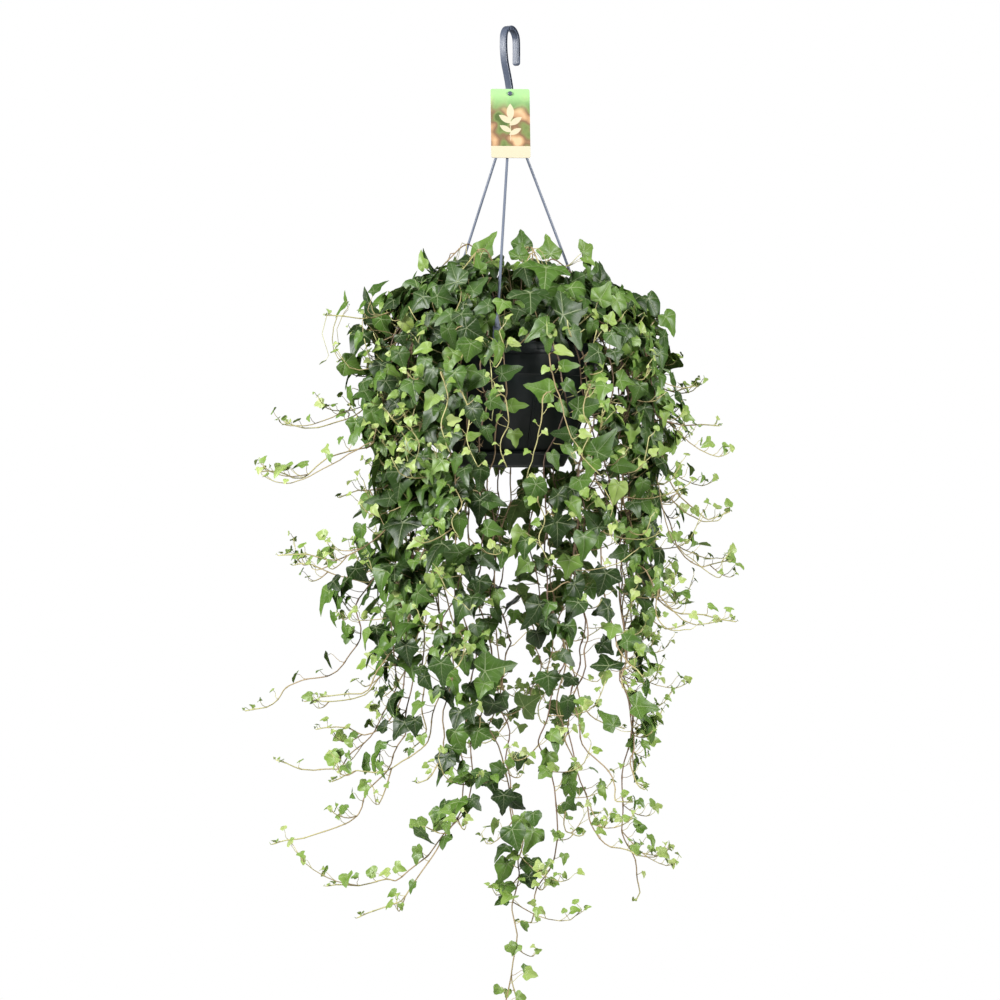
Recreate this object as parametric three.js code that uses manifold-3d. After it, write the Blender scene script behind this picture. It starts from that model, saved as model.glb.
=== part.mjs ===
// A hanging pot of English ivy: a moulded pot with its saucer, a hook with three clipped rods, a card
// label, potting soil, and leafy stems that arch over the rim and trail below it.
// Millimetres, +Z up, the front of the pot towards -Y. The origin is where the hook bears on its support,
// at the inside of its crown, on the axis of the pot.

import * as THREE from 'three';
import { mergeVertices } from 'three/addons/utils/BufferGeometryUtils.js';
import Module from 'manifold-3d';

const wasm = await Module();
wasm.setup();

// Pot, saucer and soil: driving dimensions

const GAP = 0.3; // clearance between touching pieces
const ROUND = 32; // sides of a large round piece

const RIM_RADIUS = 125; // a 25 cm hanging pot
const RIM_Z = -431; // top of the rim below the hook's crown
const COLLAR_HEIGHT = 16;
const COLLAR_STEP = 3.5; // how far the collar stands proud of the band below it
const BAND_HEIGHT = 27;
const BAND_TAPER = 3;
const BAND_STEP = 2.2; // how far the band stands proud of the wall below it
const POT_WALL = 2.2;
const POT_FLOOR = 3;
const BELLY = { radius: 101, z: -533 }; // draws the wall out into its slight bulge
const FOOT_RADIUS = 68;
const FOOT_RING = 5; // width of the ring that the pot stands on
const FOOT_RISE = 2.5; // height of the pot's floor above that ring
const RIBS = { angles: [17, 89, 161, 233, 305], width: 3, proud: 1.5, top: -486, bottom: -572 };
const DRAIN = { count: 4, radius: 4, circle: 44, sides: 6 };

const SAUCER_Z = -594; // underside of the saucer
const SAUCER_RIM_Z = -575;
const SAUCER_FLOOR = 2;
const SAUCER_WALL = 1.8;
const SAUCER_BOTTOM_RADIUS = 73;
const SAUCER_RIM_RADIUS = 82;

const SOIL_Z = -446; // at the wall
const SOIL_CROWN = 5; // the soil is this much higher in the middle

// Hook, rods and label: driving dimensions

const HOOK = {
  turn: 58, // degrees that its plane is turned, its tip to the right and back
  width: 9.5,
  thickness: 5.5,
  crownRadius: 13.5, // inside
  tip: [[16.6, -29], [16.4, -46]], // [sideways, height] of the short limb below the crown
  shaft: [[-16.3, -28], [-13.4, -45], [-7, -62], [-2, -77], [0, -92], [0, -112]],
};
const HUB_PROFILE = [[0, -105], [5, -105], [8.5, -109], [11.5, -118], [11.5, -133], [0, -133]];

const ROD_RADIUS = 1.8;
const ROD_TOP = { radius: 3.5, z: -122 }; // where a rod ends inside its socket
const ROD_FOOT = { radius: 126.4, z: -414 };
const ROD_ANGLES = { rod_front: -8, rod_right: 112, rod_left: 232 }; // degrees from the front towards +X
const ROD_SIDES = 8;
const BULB = { radius: 3.2, length: 9 }; // the thick end of a rod, above its clip
const CLIP = { width: 11, plate: 2.2, top: -412, bottom: -445, lip: 2.2, tab: 7 };

const LABEL = { width: 53, height: 99, thickness: 0.9, corner: 3, top: -82 };
const LABEL_HOLE = { radius: 2.3, drop: 6.5 }; // the hole's middle below the label's top edge
const LABEL_HOLE_Y = -10.5; // back of the label at its hole
const LABEL_LEAN = 12.8; // degrees: its foot rests forward on the front rod
const LABEL_TURN = 3;
const PEG = { radius: 1.5, headRadius: 3.2, head: 1.6, play: 1.4 };

// Ivy: driving dimensions

const STEM_RADIUS = 1.9; // at the root
const STEM_TIP_RADIUS = 1.1;
const ROOT_DEPTH = 20;
const HOLE_RADIUS = 4.4; // of the plain holes in the soil
const WANDER = 5; // how far a hanging stem strays from its plain course
const PETIOLE_RADIUS = 1.25;
const BLADE_THICKNESS = 2; // at the vein junction; a blade thins to its edge
const OLD_LEAF = 52; // width of a full-grown blade
const YOUNG_LEAF = 9; // width of the last blade at a stem's tip
const GROWING_LENGTH = 280; // the stretch behind the tip where blades are not yet full-grown
const SOLID_SPACING = [62, 128]; // between the leaves made here, near the root and at the tip of a stem
const LEAF_CLEARANCE = 1.3; // from a leaf to every other stem, leaf and piece

// How the arch of a stem changes from those that lie close over the rim to those that reach widest
const ARCH = {
  shoulder: [138, 225],
  rootRadius: [92, 40],
  crestRadius: [113, 98],
  crestZ: [-411, -345],
  shoulderZ: [-470, -505],
};

// Each stem falls at its angle (degrees from the front towards +X) from its shoulder radius down to its
// knee, then sweeps out to its tip at [angle, radius, height] and curls up by curl.
const SHAPED_VINES = [
  { angle: -72, shoulder: 152, knee: -372, tip: [-78, 252, -392], curl: 10 },
  { angle: -68, shoulder: 165, knee: -505, tip: [-76, 343, -602], curl: 12 },
  { angle: -104, shoulder: 178, knee: -452, tip: [-99, 316, -531], curl: 14 },
  { angle: -60, shoulder: 158, knee: -600, tip: [-71, 323, -712], curl: 8 },
  { angle: -88, shoulder: 172, knee: -575, tip: [-86, 232, -636], curl: 14 },
  { angle: -112, shoulder: 168, knee: -640, tip: [-104, 310, -730], curl: 10 },
  { angle: -84, shoulder: 176, knee: -655, tip: [-90, 360, -926], curl: 5 },
  { angle: -50, shoulder: 150, knee: -715, tip: [-62, 282, -896], curl: 4 },
  { angle: -118, shoulder: 158, knee: -790, tip: [-107, 300, -921], curl: 4 },
  { angle: -96, shoulder: 150, knee: -865, tip: [-94, 266, -953], curl: 26 },
  { angle: -76, shoulder: 160, knee: -840, tip: [-79, 318, -986], curl: 36 },
  { angle: -42, shoulder: 142, knee: -880, tip: [-56, 278, -1003], curl: 25 },
  { angle: -66, shoulder: 150, knee: -880, tip: [-72, 329, -1092], curl: 14 },
  { angle: -14, shoulder: 146, knee: -915, tip: [-58, 282, -1139], curl: 24 },
  { angle: -24, shoulder: 154, knee: -985, tip: [-42, 290, -1168], curl: 3 },
  { angle: -4, shoulder: 140, knee: -1000, tip: [6, 150, -1330], curl: 0 },
  { angle: 22, shoulder: 148, knee: -990, tip: [5, 112, -1192], curl: 0 },
  { angle: 186, shoulder: 150, knee: -960, tip: [170, 120, -1142], curl: 0 },
  { angle: 78, shoulder: 168, knee: -985, tip: [80, 172, -1179], curl: 0 },
  { angle: 36, shoulder: 150, knee: -955, tip: [52, 210, -1103], curl: 2 },
  { angle: 84, shoulder: 205, knee: -575, tip: [88, 298, -655], curl: 14 },
  { angle: 98, shoulder: 200, knee: -600, tip: [94, 304, -722], curl: 26 },
  { angle: 60, shoulder: 178, knee: -690, tip: [70, 315, -799], curl: 9 },
  { angle: 118, shoulder: 196, knee: -720, tip: [108, 257, -813], curl: 6 },
  { angle: 72, shoulder: 205, knee: -470, tip: [74, 288, -541], curl: 10 },
  { angle: 104, shoulder: 178, knee: -420, tip: [100, 260, -482], curl: 12 },
];

// Groups of stems spread evenly over a range of angles, their other sizes drawn between two limits
const DRAWN_GROUPS = [
  { count: 4, angles: [-56, -26], shoulder: [140, 172], tipZ: [-790, -1080], reach: [8, 60] },
  { count: 6, angles: [28, 96], shoulder: [140, 185], tipZ: [-820, -1040], reach: [8, 70] },
  { count: 10, angles: [124, 229], shoulder: [142, 205], tipZ: [-640, -1130], reach: [20, 130] },
];
const DRAWN_SEED = 23;
const DRAWN_SWEEP = [110, 200]; // height over which a drawn stem sweeps out

// Short shoots that stand up out of the middle of the pot and lean over
const CROWN = { count: 5, turn: 33, rootRadius: 20, tipRadius: [70, 118], top: [-326, -292], droop: 34 };

// Few leaves hang in front of the pot here, so that its wall shows between the stems.
const OPEN_FRONT = { angles: [-13, 22], heights: [-600, -458], skipped: 0.65 };

// Blade outline from the notch at the petiole to the tip, right half: [across, along] as a share of its
// width, once with deep lobes and once nearly entire, and how far each point droops.
const LOBED = [[0, -0.1], [0.27, -0.27], [0.31, -0.05], [0.5, 0.14], [0.16, 0.24], [0, 0.78]];
const ENTIRE = [[0, -0.08], [0.28, -0.2], [0.4, -0.03], [0.42, 0.14], [0.25, 0.34], [0, 0.62]];
const DROOP = [0, 0.03, 0.02, 0.08, 0.03, 0.16];

// Colours and surfaces

const surface = (colour, roughness) =>
  new THREE.MeshStandardMaterial({ color: colour, roughness, metalness: 0 });

const potPlastic = surface(0x23282e, 0.5);
const hangerPlastic = surface(0x59626d, 0.45);
const card = surface(0xe9dfb6, 0.6);
const pottingSoil = surface(0x3a2a1e, 0.95);
const ivyGreens = [surface(0x2f5a2c, 0.45), surface(0x3c6a31, 0.45), surface(0x4c7a38, 0.5)];

// Solids

// A closed geometry becomes a solid once its shared vertices are merged and its empty faces dropped.
function solidFrom(geometry) {
  const bare = geometry.clone();
  bare.deleteAttribute('normal');
  bare.deleteAttribute('uv');
  const merged = mergeVertices(bare, 1e-4);
  const corners = merged.index.array;
  const triangles = [];
  for (let i = 0; i < corners.length; i += 3) {
    const [a, b, c] = corners.slice(i, i + 3);
    if (a !== b && b !== c && c !== a) {
      triangles.push(a, b, c);
    }
  }
  return new wasm.Manifold(new wasm.Mesh({
    numProp: 3,
    vertProperties: new Float32Array(merged.attributes.position.array),
    triVerts: new Uint32Array(triangles),
  }));
}

function solidFromPoints(points, triangles) {
  return new wasm.Manifold(new wasm.Mesh({
    numProp: 3,
    vertProperties: new Float32Array(points.flatMap((point) => point.toArray())),
    triVerts: new Uint32Array(triangles.flat()),
  }));
}

function nodeFrom(name, solid, material) {
  const { vertProperties, triVerts } = solid.getMesh();
  const geometry = new THREE.BufferGeometry();
  geometry.setAttribute('position', new THREE.BufferAttribute(new Float32Array(vertProperties), 3));
  geometry.setIndex(new THREE.BufferAttribute(new Uint32Array(triVerts), 1));
  geometry.computeVertexNormals();
  const mesh = new THREE.Mesh(geometry, material);
  mesh.name = name;
  return mesh;
}

const radians = THREE.MathUtils.degToRad;
const { lerp, clamp } = THREE.MathUtils;
const UP = new THREE.Vector3(0, 0, 1);

// A point at an angle from the front towards +X, a radius from the pot's axis, and a height
function polar(angle, radius, z) {
  return new THREE.Vector3(radius * Math.sin(radians(angle)), -radius * Math.cos(radians(angle)), z);
}

// A profile of [radius, height] pairs, from the axis and back to it, turned about the pot's axis
function turned(profile, sides) {
  const points = profile.map(([radius, height]) => new THREE.Vector2(radius, height));
  const geometry = new THREE.LatheGeometry(points, sides);
  geometry.rotateX(Math.PI / 2);
  return solidFrom(geometry);
}

// A bar between two points
function bar(from, to, radius, sides) {
  const along = new THREE.Vector3().subVectors(to, from);
  const middle = new THREE.Vector3().addVectors(from, to).multiplyScalar(0.5);
  const geometry = new THREE.CylinderGeometry(radius, radius, along.length(), sides);
  const turn = new THREE.Quaternion().setFromUnitVectors(new THREE.Vector3(0, 1, 0), along.normalize());
  geometry.applyQuaternion(turn);
  geometry.translate(middle.x, middle.y, middle.z);
  return solidFrom(geometry);
}

// A block set at an angle round the pot, spanning a range of radius and of height
function blockAround(angle, width, radii, heights) {
  const geometry = new THREE.BoxGeometry(width, radii[1] - radii[0], heights[1] - heights[0]);
  geometry.translate(0, -(radii[0] + radii[1]) / 2, (heights[0] + heights[1]) / 2);
  geometry.rotateZ(radians(angle));
  return solidFrom(geometry);
}

// Pot, saucer and soil

const FOOT_Z = SAUCER_Z + SAUCER_FLOOR + GAP;
const FLOOR_Z = FOOT_Z + FOOT_RISE + POT_FLOOR;
const COLLAR_Z = RIM_Z - COLLAR_HEIGHT;
const BAND_Z = COLLAR_Z - BAND_HEIGHT;
const BAND_RADIUS = RIM_RADIUS - COLLAR_STEP;
const WALL_RADIUS = BAND_RADIUS - BAND_TAPER - BAND_STEP;

// The wall below the band bulges slightly, as one curve from the foot up to the band.
function wallCurve(inset, divisions) {
  const curve = new THREE.QuadraticBezierCurve(
    new THREE.Vector2(FOOT_RADIUS - inset, FOOT_Z),
    new THREE.Vector2(BELLY.radius - inset, BELLY.z),
    new THREE.Vector2(WALL_RADIUS - inset, BAND_Z),
  );
  return curve.getPoints(divisions).map(({ x, y }) => [x, y]);
}

// The inside of the pot up to the collar. The soil takes the same form, drawn in by a gap.
function inside(gap) {
  const wall = wallCurve(POT_WALL + gap, 2).slice(1);
  return [[FOOT_RADIUS - POT_WALL - gap, FLOOR_Z + gap], ...wall, [BAND_RADIUS - POT_WALL - gap, COLLAR_Z]];
}

function wallRadiusAt(z) {
  const points = wallCurve(0, 16);
  const above = points.findIndex(([, height]) => height >= z);
  const [lower, upper] = [points[above - 1], points[above]];
  return lerp(lower[0], upper[0], (z - lower[1]) / (upper[1] - lower[1]));
}

// A rib follows the wall in three straight runs and sinks 1 mm into it.
function makeRib(angle) {
  const heights = [RIBS.bottom, lerp(RIBS.bottom, RIBS.top, 0.5), RIBS.top];
  const outer = heights.map((z) => new THREE.Vector2(wallRadiusAt(z) + RIBS.proud, z));
  const inner = heights.map((z) => new THREE.Vector2(wallRadiusAt(z) - 1, z)).reverse();
  const geometry = new THREE.ExtrudeGeometry(new THREE.Shape([...outer, ...inner]), {
    depth: RIBS.width,
    bevelEnabled: false,
  });
  geometry.translate(0, 0, -RIBS.width / 2);
  geometry.rotateX(Math.PI / 2);
  geometry.rotateZ(radians(angle - 90));
  return solidFrom(geometry);
}

function makePot() {
  let pot = turned([
    [0, FOOT_Z + FOOT_RISE],
    [FOOT_RADIUS - FOOT_RING, FOOT_Z + FOOT_RISE],
    [FOOT_RADIUS - FOOT_RING, FOOT_Z],
    ...wallCurve(0, 4),
    [WALL_RADIUS + BAND_STEP, BAND_Z],
    [BAND_RADIUS, COLLAR_Z],
    [RIM_RADIUS, COLLAR_Z],
    [RIM_RADIUS, RIM_Z],
    [BAND_RADIUS - POT_WALL, RIM_Z],
    ...inside(0).reverse(),
    [0, FLOOR_Z],
  ], ROUND);
  for (const angle of RIBS.angles) {
    pot = pot.add(makeRib(angle));
  }
  for (let i = 0; i < DRAIN.count; i += 1) {
    const place = (z) => polar((360 / DRAIN.count) * i, DRAIN.circle, z);
    pot = pot.subtract(bar(place(FOOT_Z - 1), place(FLOOR_Z + 1), DRAIN.radius, DRAIN.sides));
  }
  return pot;
}

function makeSaucer() {
  return turned([
    [0, SAUCER_Z],
    [SAUCER_BOTTOM_RADIUS, SAUCER_Z],
    [SAUCER_RIM_RADIUS, SAUCER_RIM_Z],
    [SAUCER_RIM_RADIUS - SAUCER_WALL, SAUCER_RIM_Z],
    [SAUCER_BOTTOM_RADIUS - SAUCER_WALL, SAUCER_Z + SAUCER_FLOOR],
    [0, SAUCER_Z + SAUCER_FLOOR],
  ], ROUND);
}

function makeSoil(roots) {
  const body = turned([[0, FLOOR_Z + GAP], ...inside(GAP), [0, SOIL_Z + SOIL_CROWN]], ROUND);
  const holes = roots.map((root) => {
    const bottom = root.clone().setZ(SOIL_Z - ROOT_DEPTH - GAP);
    const top = root.clone().setZ(SOIL_Z + SOIL_CROWN + 1);
    return bar(bottom, top, HOLE_RADIUS, 3);
  });
  return body.subtract(wasm.Manifold.union(holes));
}

// Hook, rods and label

// The strap's centreline: up from the tip, round the crown, and down the shaft into the hub.
function hookLine() {
  const radius = HOOK.crownRadius + HOOK.thickness / 2;
  const crown = [0, 30, 60, 90, 120, 150, 180].map((angle) => [
    radius * Math.cos(radians(angle)),
    radius * Math.sin(radians(angle)) - HOOK.crownRadius,
  ]);
  const line = [...[...HOOK.tip].reverse(), ...crown, ...HOOK.shaft];
  return new THREE.CatmullRomCurve3(line.map(([across, z]) => new THREE.Vector3(across, 0, z)));
}

// The strap's section is a rectangle with its corners cut off.
function hookSection() {
  const [across, through] = [HOOK.width / 2, HOOK.thickness / 2];
  const cut = 1.3;
  return new THREE.Shape([
    new THREE.Vector2(across, through - cut),
    new THREE.Vector2(across - cut, through),
    new THREE.Vector2(cut - across, through),
    new THREE.Vector2(-across, through - cut),
    new THREE.Vector2(-across, cut - through),
    new THREE.Vector2(cut - across, -through),
    new THREE.Vector2(across - cut, -through),
    new THREE.Vector2(across, cut - through),
  ]);
}

const LABEL_HOLE_Z = LABEL.top - LABEL_HOLE.drop;

const rodTop = (angle) => polar(angle, ROD_TOP.radius, ROD_TOP.z);
const rodFoot = (angle) => polar(angle, ROD_FOOT.radius, ROD_FOOT.z);

function makeHook() {
  const geometry = new THREE.ExtrudeGeometry(hookSection(), {
    steps: 20,
    bevelEnabled: false,
    extrudePath: hookLine(),
  });
  geometry.rotateZ(radians(HOOK.turn));
  const headY = LABEL_HOLE_Y - LABEL.thickness - PEG.play - PEG.head;
  const pegPoint = (y) => new THREE.Vector3(0, y, LABEL_HOLE_Z);
  let hook = solidFrom(geometry)
    .add(turned([...HUB_PROFILE].reverse(), 12))
    .add(bar(pegPoint(-1), pegPoint(headY + 0.5), PEG.radius, 8))
    .add(bar(pegPoint(headY + PEG.head), pegPoint(headY), PEG.headRadius, 10));
  for (const angle of Object.values(ROD_ANGLES)) {
    const down = rodFoot(angle).sub(rodTop(angle)).normalize();
    const from = rodTop(angle).addScaledVector(down, -GAP);
    const to = rodTop(angle).addScaledVector(down, 30);
    hook = hook.subtract(bar(from, to, ROD_RADIUS + 2 * GAP, ROD_SIDES));
  }
  return hook;
}

// A straight rod, its thick end, and the clip that hooks over the rim and lies against the collar
function makeRod(angle) {
  const foot = rodFoot(angle);
  const down = foot.clone().sub(rodTop(angle)).normalize();
  const plateRadii = [RIM_RADIUS + GAP, RIM_RADIUS + GAP + CLIP.plate];
  const tabRadius = (BAND_RADIUS - POT_WALL) * Math.cos(Math.PI / ROUND) - 2 * GAP;
  const lipHeights = [RIM_Z + GAP, RIM_Z + GAP + CLIP.lip];
  const tabHeights = [RIM_Z - CLIP.tab, lipHeights[1]];
  return bar(rodTop(angle), foot, ROD_RADIUS, ROD_SIDES)
    .add(bar(foot.clone().addScaledVector(down, -BULB.length), foot, BULB.radius, ROD_SIDES))
    .add(blockAround(angle, CLIP.width, plateRadii, [CLIP.bottom, CLIP.top]))
    .add(blockAround(angle, CLIP.width, [tabRadius - CLIP.plate, plateRadii[1]], lipHeights))
    .add(blockAround(angle, CLIP.width, [tabRadius - CLIP.plate, tabRadius], tabHeights));
}

function makeLabel() {
  const [half, corner] = [LABEL.width / 2, LABEL.corner];
  const top = LABEL_HOLE.drop;
  const bottom = top - LABEL.height;
  const outline = new THREE.Shape();
  outline.moveTo(corner - half, bottom);
  outline.lineTo(half - corner, bottom);
  outline.absarc(half - corner, bottom + corner, corner, -Math.PI / 2, 0, false);
  outline.absarc(half - corner, top - corner, corner, 0, Math.PI / 2, false);
  outline.absarc(corner - half, top - corner, corner, Math.PI / 2, Math.PI, false);
  outline.absarc(corner - half, bottom + corner, corner, Math.PI, Math.PI * 1.5, false);
  const hole = new THREE.Path();
  hole.absarc(0, 0, LABEL_HOLE.radius, 0, Math.PI * 2, true);
  outline.holes.push(hole);
  const geometry = new THREE.ExtrudeGeometry(outline, {
    depth: LABEL.thickness,
    bevelEnabled: false,
    curveSegments: 3,
  });
  geometry.rotateX(Math.PI / 2 - radians(LABEL_LEAN));
  geometry.rotateZ(radians(LABEL_TURN));
  geometry.translate(0, LABEL_HOLE_Y, LABEL_HOLE_Z);
  return solidFrom(geometry);
}

// Ivy stems

// Evenly spread numbers from 0 to 1 that are the same on every run (the mulberry32 rule)
function randomStream(seed) {
  let state = seed >>> 0;
  return () => {
    state = (state + 0x6d2b79f5) >>> 0;
    let mixed = Math.imul(state ^ (state >>> 15), state | 1);
    mixed ^= mixed + Math.imul(mixed ^ (mixed >>> 7), mixed | 61);
    return ((mixed ^ (mixed >>> 14)) >>> 0) / 4294967296;
  };
}

// The stems of the drawn groups, in the same terms as those listed by hand
function drawnVines() {
  const random = randomStream(DRAWN_SEED);
  const between = ([low, high]) => lerp(low, high, random());
  const vines = [];
  for (const group of DRAWN_GROUPS) {
    const step = (group.angles[1] - group.angles[0]) / group.count;
    for (let i = 0; i < group.count; i += 1) {
      const angle = group.angles[0] + step * (i + 0.35 + 0.3 * random());
      const shoulder = between(group.shoulder);
      const tipZ = between(group.tipZ);
      const knee = tipZ + between(DRAWN_SWEEP);
      const tip = [angle + lerp(-12, 12, random()), shoulder + between(group.reach), tipZ];
      vines.push({ angle, shoulder, knee, tip, curl: 16 * random() });
    }
  }
  return vines;
}

// The course of a stem: out of the soil, over the rim, down to its knee, and out to its tip
function hangingCourse(vine, random) {
  const arch = clamp((vine.shoulder - ARCH.shoulder[0]) / (ARCH.shoulder[1] - ARCH.shoulder[0]), 0, 1);
  const [rootRadius, crestRadius, crestZ, shoulderZ] = [
    ARCH.rootRadius,
    ARCH.crestRadius,
    ARCH.crestZ,
    ARCH.shoulderZ,
  ].map(([close, wide]) => lerp(close, wide, arch));
  const stray = () => (random() - 0.5) * 2 * WANDER;
  const strayed = (point) => point.add(new THREE.Vector3(stray(), stray(), 0));
  const { angle, shoulder, knee } = vine;
  const course = [
    polar(angle, rootRadius, SOIL_Z - ROOT_DEPTH),
    polar(angle, rootRadius, SOIL_Z + 7),
    polar(angle, lerp(rootRadius, crestRadius, 0.5), lerp(SOIL_Z, crestZ, 0.8)),
    polar(angle, crestRadius, crestZ),
    polar(angle, lerp(crestRadius, shoulder, 0.62), lerp(crestZ, shoulderZ, 0.25)),
  ];
  if (knee < shoulderZ - 50) {
    const falls = Math.ceil((shoulderZ - knee) / 170);
    for (let i = 0; i < falls; i += 1) {
      const z = lerp(shoulderZ, knee, i / falls);
      course.push(strayed(polar(angle, shoulder - (8 * i) / falls, z)));
    }
  }
  const bend = strayed(polar(angle, shoulder - 8, knee));
  course.push(bend);
  const tip = polar(...vine.tip);
  for (const share of [0.4, 0.72, 1]) {
    const out = 1 - Math.cos((share * Math.PI) / 2);
    const down = Math.sin((share * Math.PI) / 2);
    course.push(new THREE.Vector3(
      lerp(bend.x, tip.x, out),
      lerp(bend.y, tip.y, out),
      lerp(bend.z, tip.z - vine.curl, down) + vine.curl * share ** 4,
    ));
  }
  return course;
}

// The course of a short shoot that rises from the middle and leans over
function crownCourse(index, random) {
  const angle = CROWN.turn + (360 / CROWN.count) * index;
  const top = lerp(...CROWN.top, random());
  const reach = lerp(...CROWN.tipRadius, random());
  return [
    polar(angle, CROWN.rootRadius, SOIL_Z - ROOT_DEPTH),
    polar(angle, CROWN.rootRadius, SOIL_Z + SOIL_CROWN + 4),
    polar(angle, CROWN.rootRadius + 6, lerp(SOIL_Z, top, 0.6)),
    polar(angle, lerp(CROWN.rootRadius, reach, 0.45), top),
    polar(angle, reach, top - CROWN.droop),
  ];
}

// A stem's stations are the points of its course, which lie closer together where it bends.
class StemPath extends THREE.CatmullRomCurve3 {
  getUtoTmapping(share) {
    return share;
  }
}

// A three-sided stem that thins towards its tip
function makeStem(course) {
  const steps = course.length - 1;
  const section = new THREE.Shape([0, 120, 240].map((angle) => new THREE.Vector2(
    STEM_RADIUS * Math.cos(radians(angle)),
    STEM_RADIUS * Math.sin(radians(angle)),
  )));
  const extrudePath = new StemPath(course, false, 'catmullrom');
  const geometry = new THREE.ExtrudeGeometry(section, { steps, bevelEnabled: false, extrudePath });
  const { position } = geometry.attributes;
  const corner = new THREE.Vector3();
  for (let i = 0; i < position.count; i += 1) {
    corner.fromBufferAttribute(position, i);
    const distances = course.map((point) => point.distanceTo(corner));
    const station = distances.indexOf(Math.min(...distances));
    const thinning = lerp(1, STEM_TIP_RADIUS / STEM_RADIUS, station / steps);
    corner.sub(course[station]).multiplyScalar(thinning).add(course[station]);
    position.setXYZ(i, corner.x, corner.y, corner.z);
  }
  return solidFrom(geometry);
}

// Ivy leaves

// Whether a leaf is one of those left off in front of the pot
function leavesOpen(junction, chance) {
  const angle = THREE.MathUtils.radToDeg(Math.atan2(junction.x, -junction.y));
  const within = (value, [low, high]) => value > low && value < high;
  return within(angle, OPEN_FRONT.angles) && within(junction.z, OPEN_FRONT.heights)
    && chance < OPEN_FRONT.skipped;
}

// The leaves along a stem, on alternate sides, from just above the soil to the tip. Each has a root on
// the stem, a petiole to its vein junction, and a blade with its own facing, tip direction and lobing.
function leavesAlong(course, random) {
  const runs = course.slice(1).map((point, i) => point.distanceTo(course[i]));
  const total = runs.reduce((sum, run) => sum + run, 0);
  const leaves = [];
  let side = random() < 0.5 ? 1 : -1;
  let at = runs[0] + 16;
  while (at < total) {
    let [run, within] = [0, at];
    while (within > runs[run]) {
      within -= runs[run];
      run += 1;
    }
    const grown = clamp((total - at) / GROWING_LENGTH, 0, 1);
    const width = lerp(YOUNG_LEAF, OLD_LEAF, grown) * (0.7 + 0.45 * random());
    const petiole = width * (0.4 + 0.45 * random()) + 4;
    const root = new THREE.Vector3().lerpVectors(course[run], course[run + 1], within / runs[run]);
    const heading = new THREE.Vector3().subVectors(course[run + 1], course[run]).normalize();
    const outward = new THREE.Vector3(root.x, root.y, 0).normalize();
    const sideways = new THREE.Vector3().crossVectors(UP, outward);
    const hanging = clamp(-heading.z, 0, 1);
    const tilt = radians(lerp(62, 24, hanging) + 36 * (random() - 0.5));
    const facing = outward.clone().multiplyScalar(Math.cos(tilt))
      .addScaledVector(UP, Math.sin(tilt))
      .addScaledVector(sideways, 0.7 * (random() - 0.5))
      .normalize();
    const reach = facing.clone().multiplyScalar(0.8)
      .addScaledVector(sideways, side * (0.3 + 0.5 * random()))
      .normalize();
    const junction = root.clone().addScaledVector(reach, petiole);
    const roll = radians(130 * (random() - 0.5) + 14 * side);
    const tip = outward.clone().multiplyScalar(0.3).sub(UP).projectOnPlane(facing).normalize()
      .applyAxisAngle(facing, roll);
    const lobing = random();
    if (!leavesOpen(junction, lobing)) {
      leaves.push({ share: at / total, at, root, junction, facing, tip, width, lobing });
    }
    at += (14 + 0.44 * width) * (0.85 + 0.3 * random());
    side = -side;
  }
  return leaves;
}

// The outline of a blade round its vein junction, in its own [across, along, up] directions
function bladeOutline(leaf, scale) {
  const half = LOBED.map(([across, along], i) => [
    lerp(ENTIRE[i][0], across, leaf.lobing) * leaf.width * scale,
    lerp(ENTIRE[i][1], along, leaf.lobing) * leaf.width * scale,
    -DROOP[i] * leaf.width,
  ]);
  const mirrored = half.slice(1, -1).reverse().map(([across, along, up]) => [-across, along, up]);
  return [...half, ...mirrored];
}

// One leaf: a blade that is thickest at its vein junction, and its three-sided petiole down to the stem.
// Grown makes the same leaf larger all round, to keep the others clear of it.
function makeLeaf(leaf, grown = 0) {
  const across = new THREE.Vector3().crossVectors(leaf.tip, leaf.facing);
  const place = ([x, y, z]) => leaf.junction.clone()
    .addScaledVector(across, x)
    .addScaledVector(leaf.tip, y)
    .addScaledVector(leaf.facing, z);
  const size = clamp(leaf.width / 20, 0.6, 1);
  const half = (BLADE_THICKNESS / 2) * size + grown;
  const outline = bladeOutline(leaf, 1 + (2.4 * grown) / leaf.width);
  const ring = [-30, 90, 210].map((angle) => [Math.cos(radians(angle)), Math.sin(radians(angle))]);
  const petiole = PETIOLE_RADIUS * size + grown;
  const join = ring.map(([x, y]) => place([x * petiole, y * petiole, -half]));
  const foot = ring.map(([x, y]) => place([x * 0.5 * petiole, y * 0.5 * petiole, 0])
    .sub(leaf.junction).add(leaf.root));
  const count = outline.length;
  const points = [place([0, 0, half]), ...outline.map(place), ...join, ...foot];
  const rim = (i) => 1 + (i % count);
  const joint = (k) => 1 + count + (k % 3);
  const footing = (k) => 4 + count + (k % 3);
  // Each third of the outline below belongs to one corner of the petiole: right, tip side, left.
  const turns = [3, 7, count];
  const triangles = [];
  let corner = 0;
  for (let i = 0; i < count; i += 1) {
    triangles.push([0, rim(i), rim(i + 1)]);
    triangles.push([rim(i + 1), rim(i), joint(corner)]);
    if (i + 1 === turns[corner]) {
      triangles.push([joint(corner), joint(corner + 1), rim(i + 1)]);
      corner += 1;
    }
  }
  for (let k = 0; k < 3; k += 1) {
    triangles.push([footing(k), footing(k + 1), joint(k + 1)]);
    triangles.push([footing(k), joint(k + 1), joint(k)]);
  }
  triangles.push([footing(0), footing(2), footing(1)]);
  return solidFromPoints(points, triangles);
}

// Solids meet only where their boxes do.
function boxesMeet(one, other) {
  return [0, 1, 2].every((axis) => one.min[axis] <= other.max[axis] && other.min[axis] <= one.max[axis]);
}

const boxed = (solid, owner) => ({ solid, owner, box: solid.boundingBox() });

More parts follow.
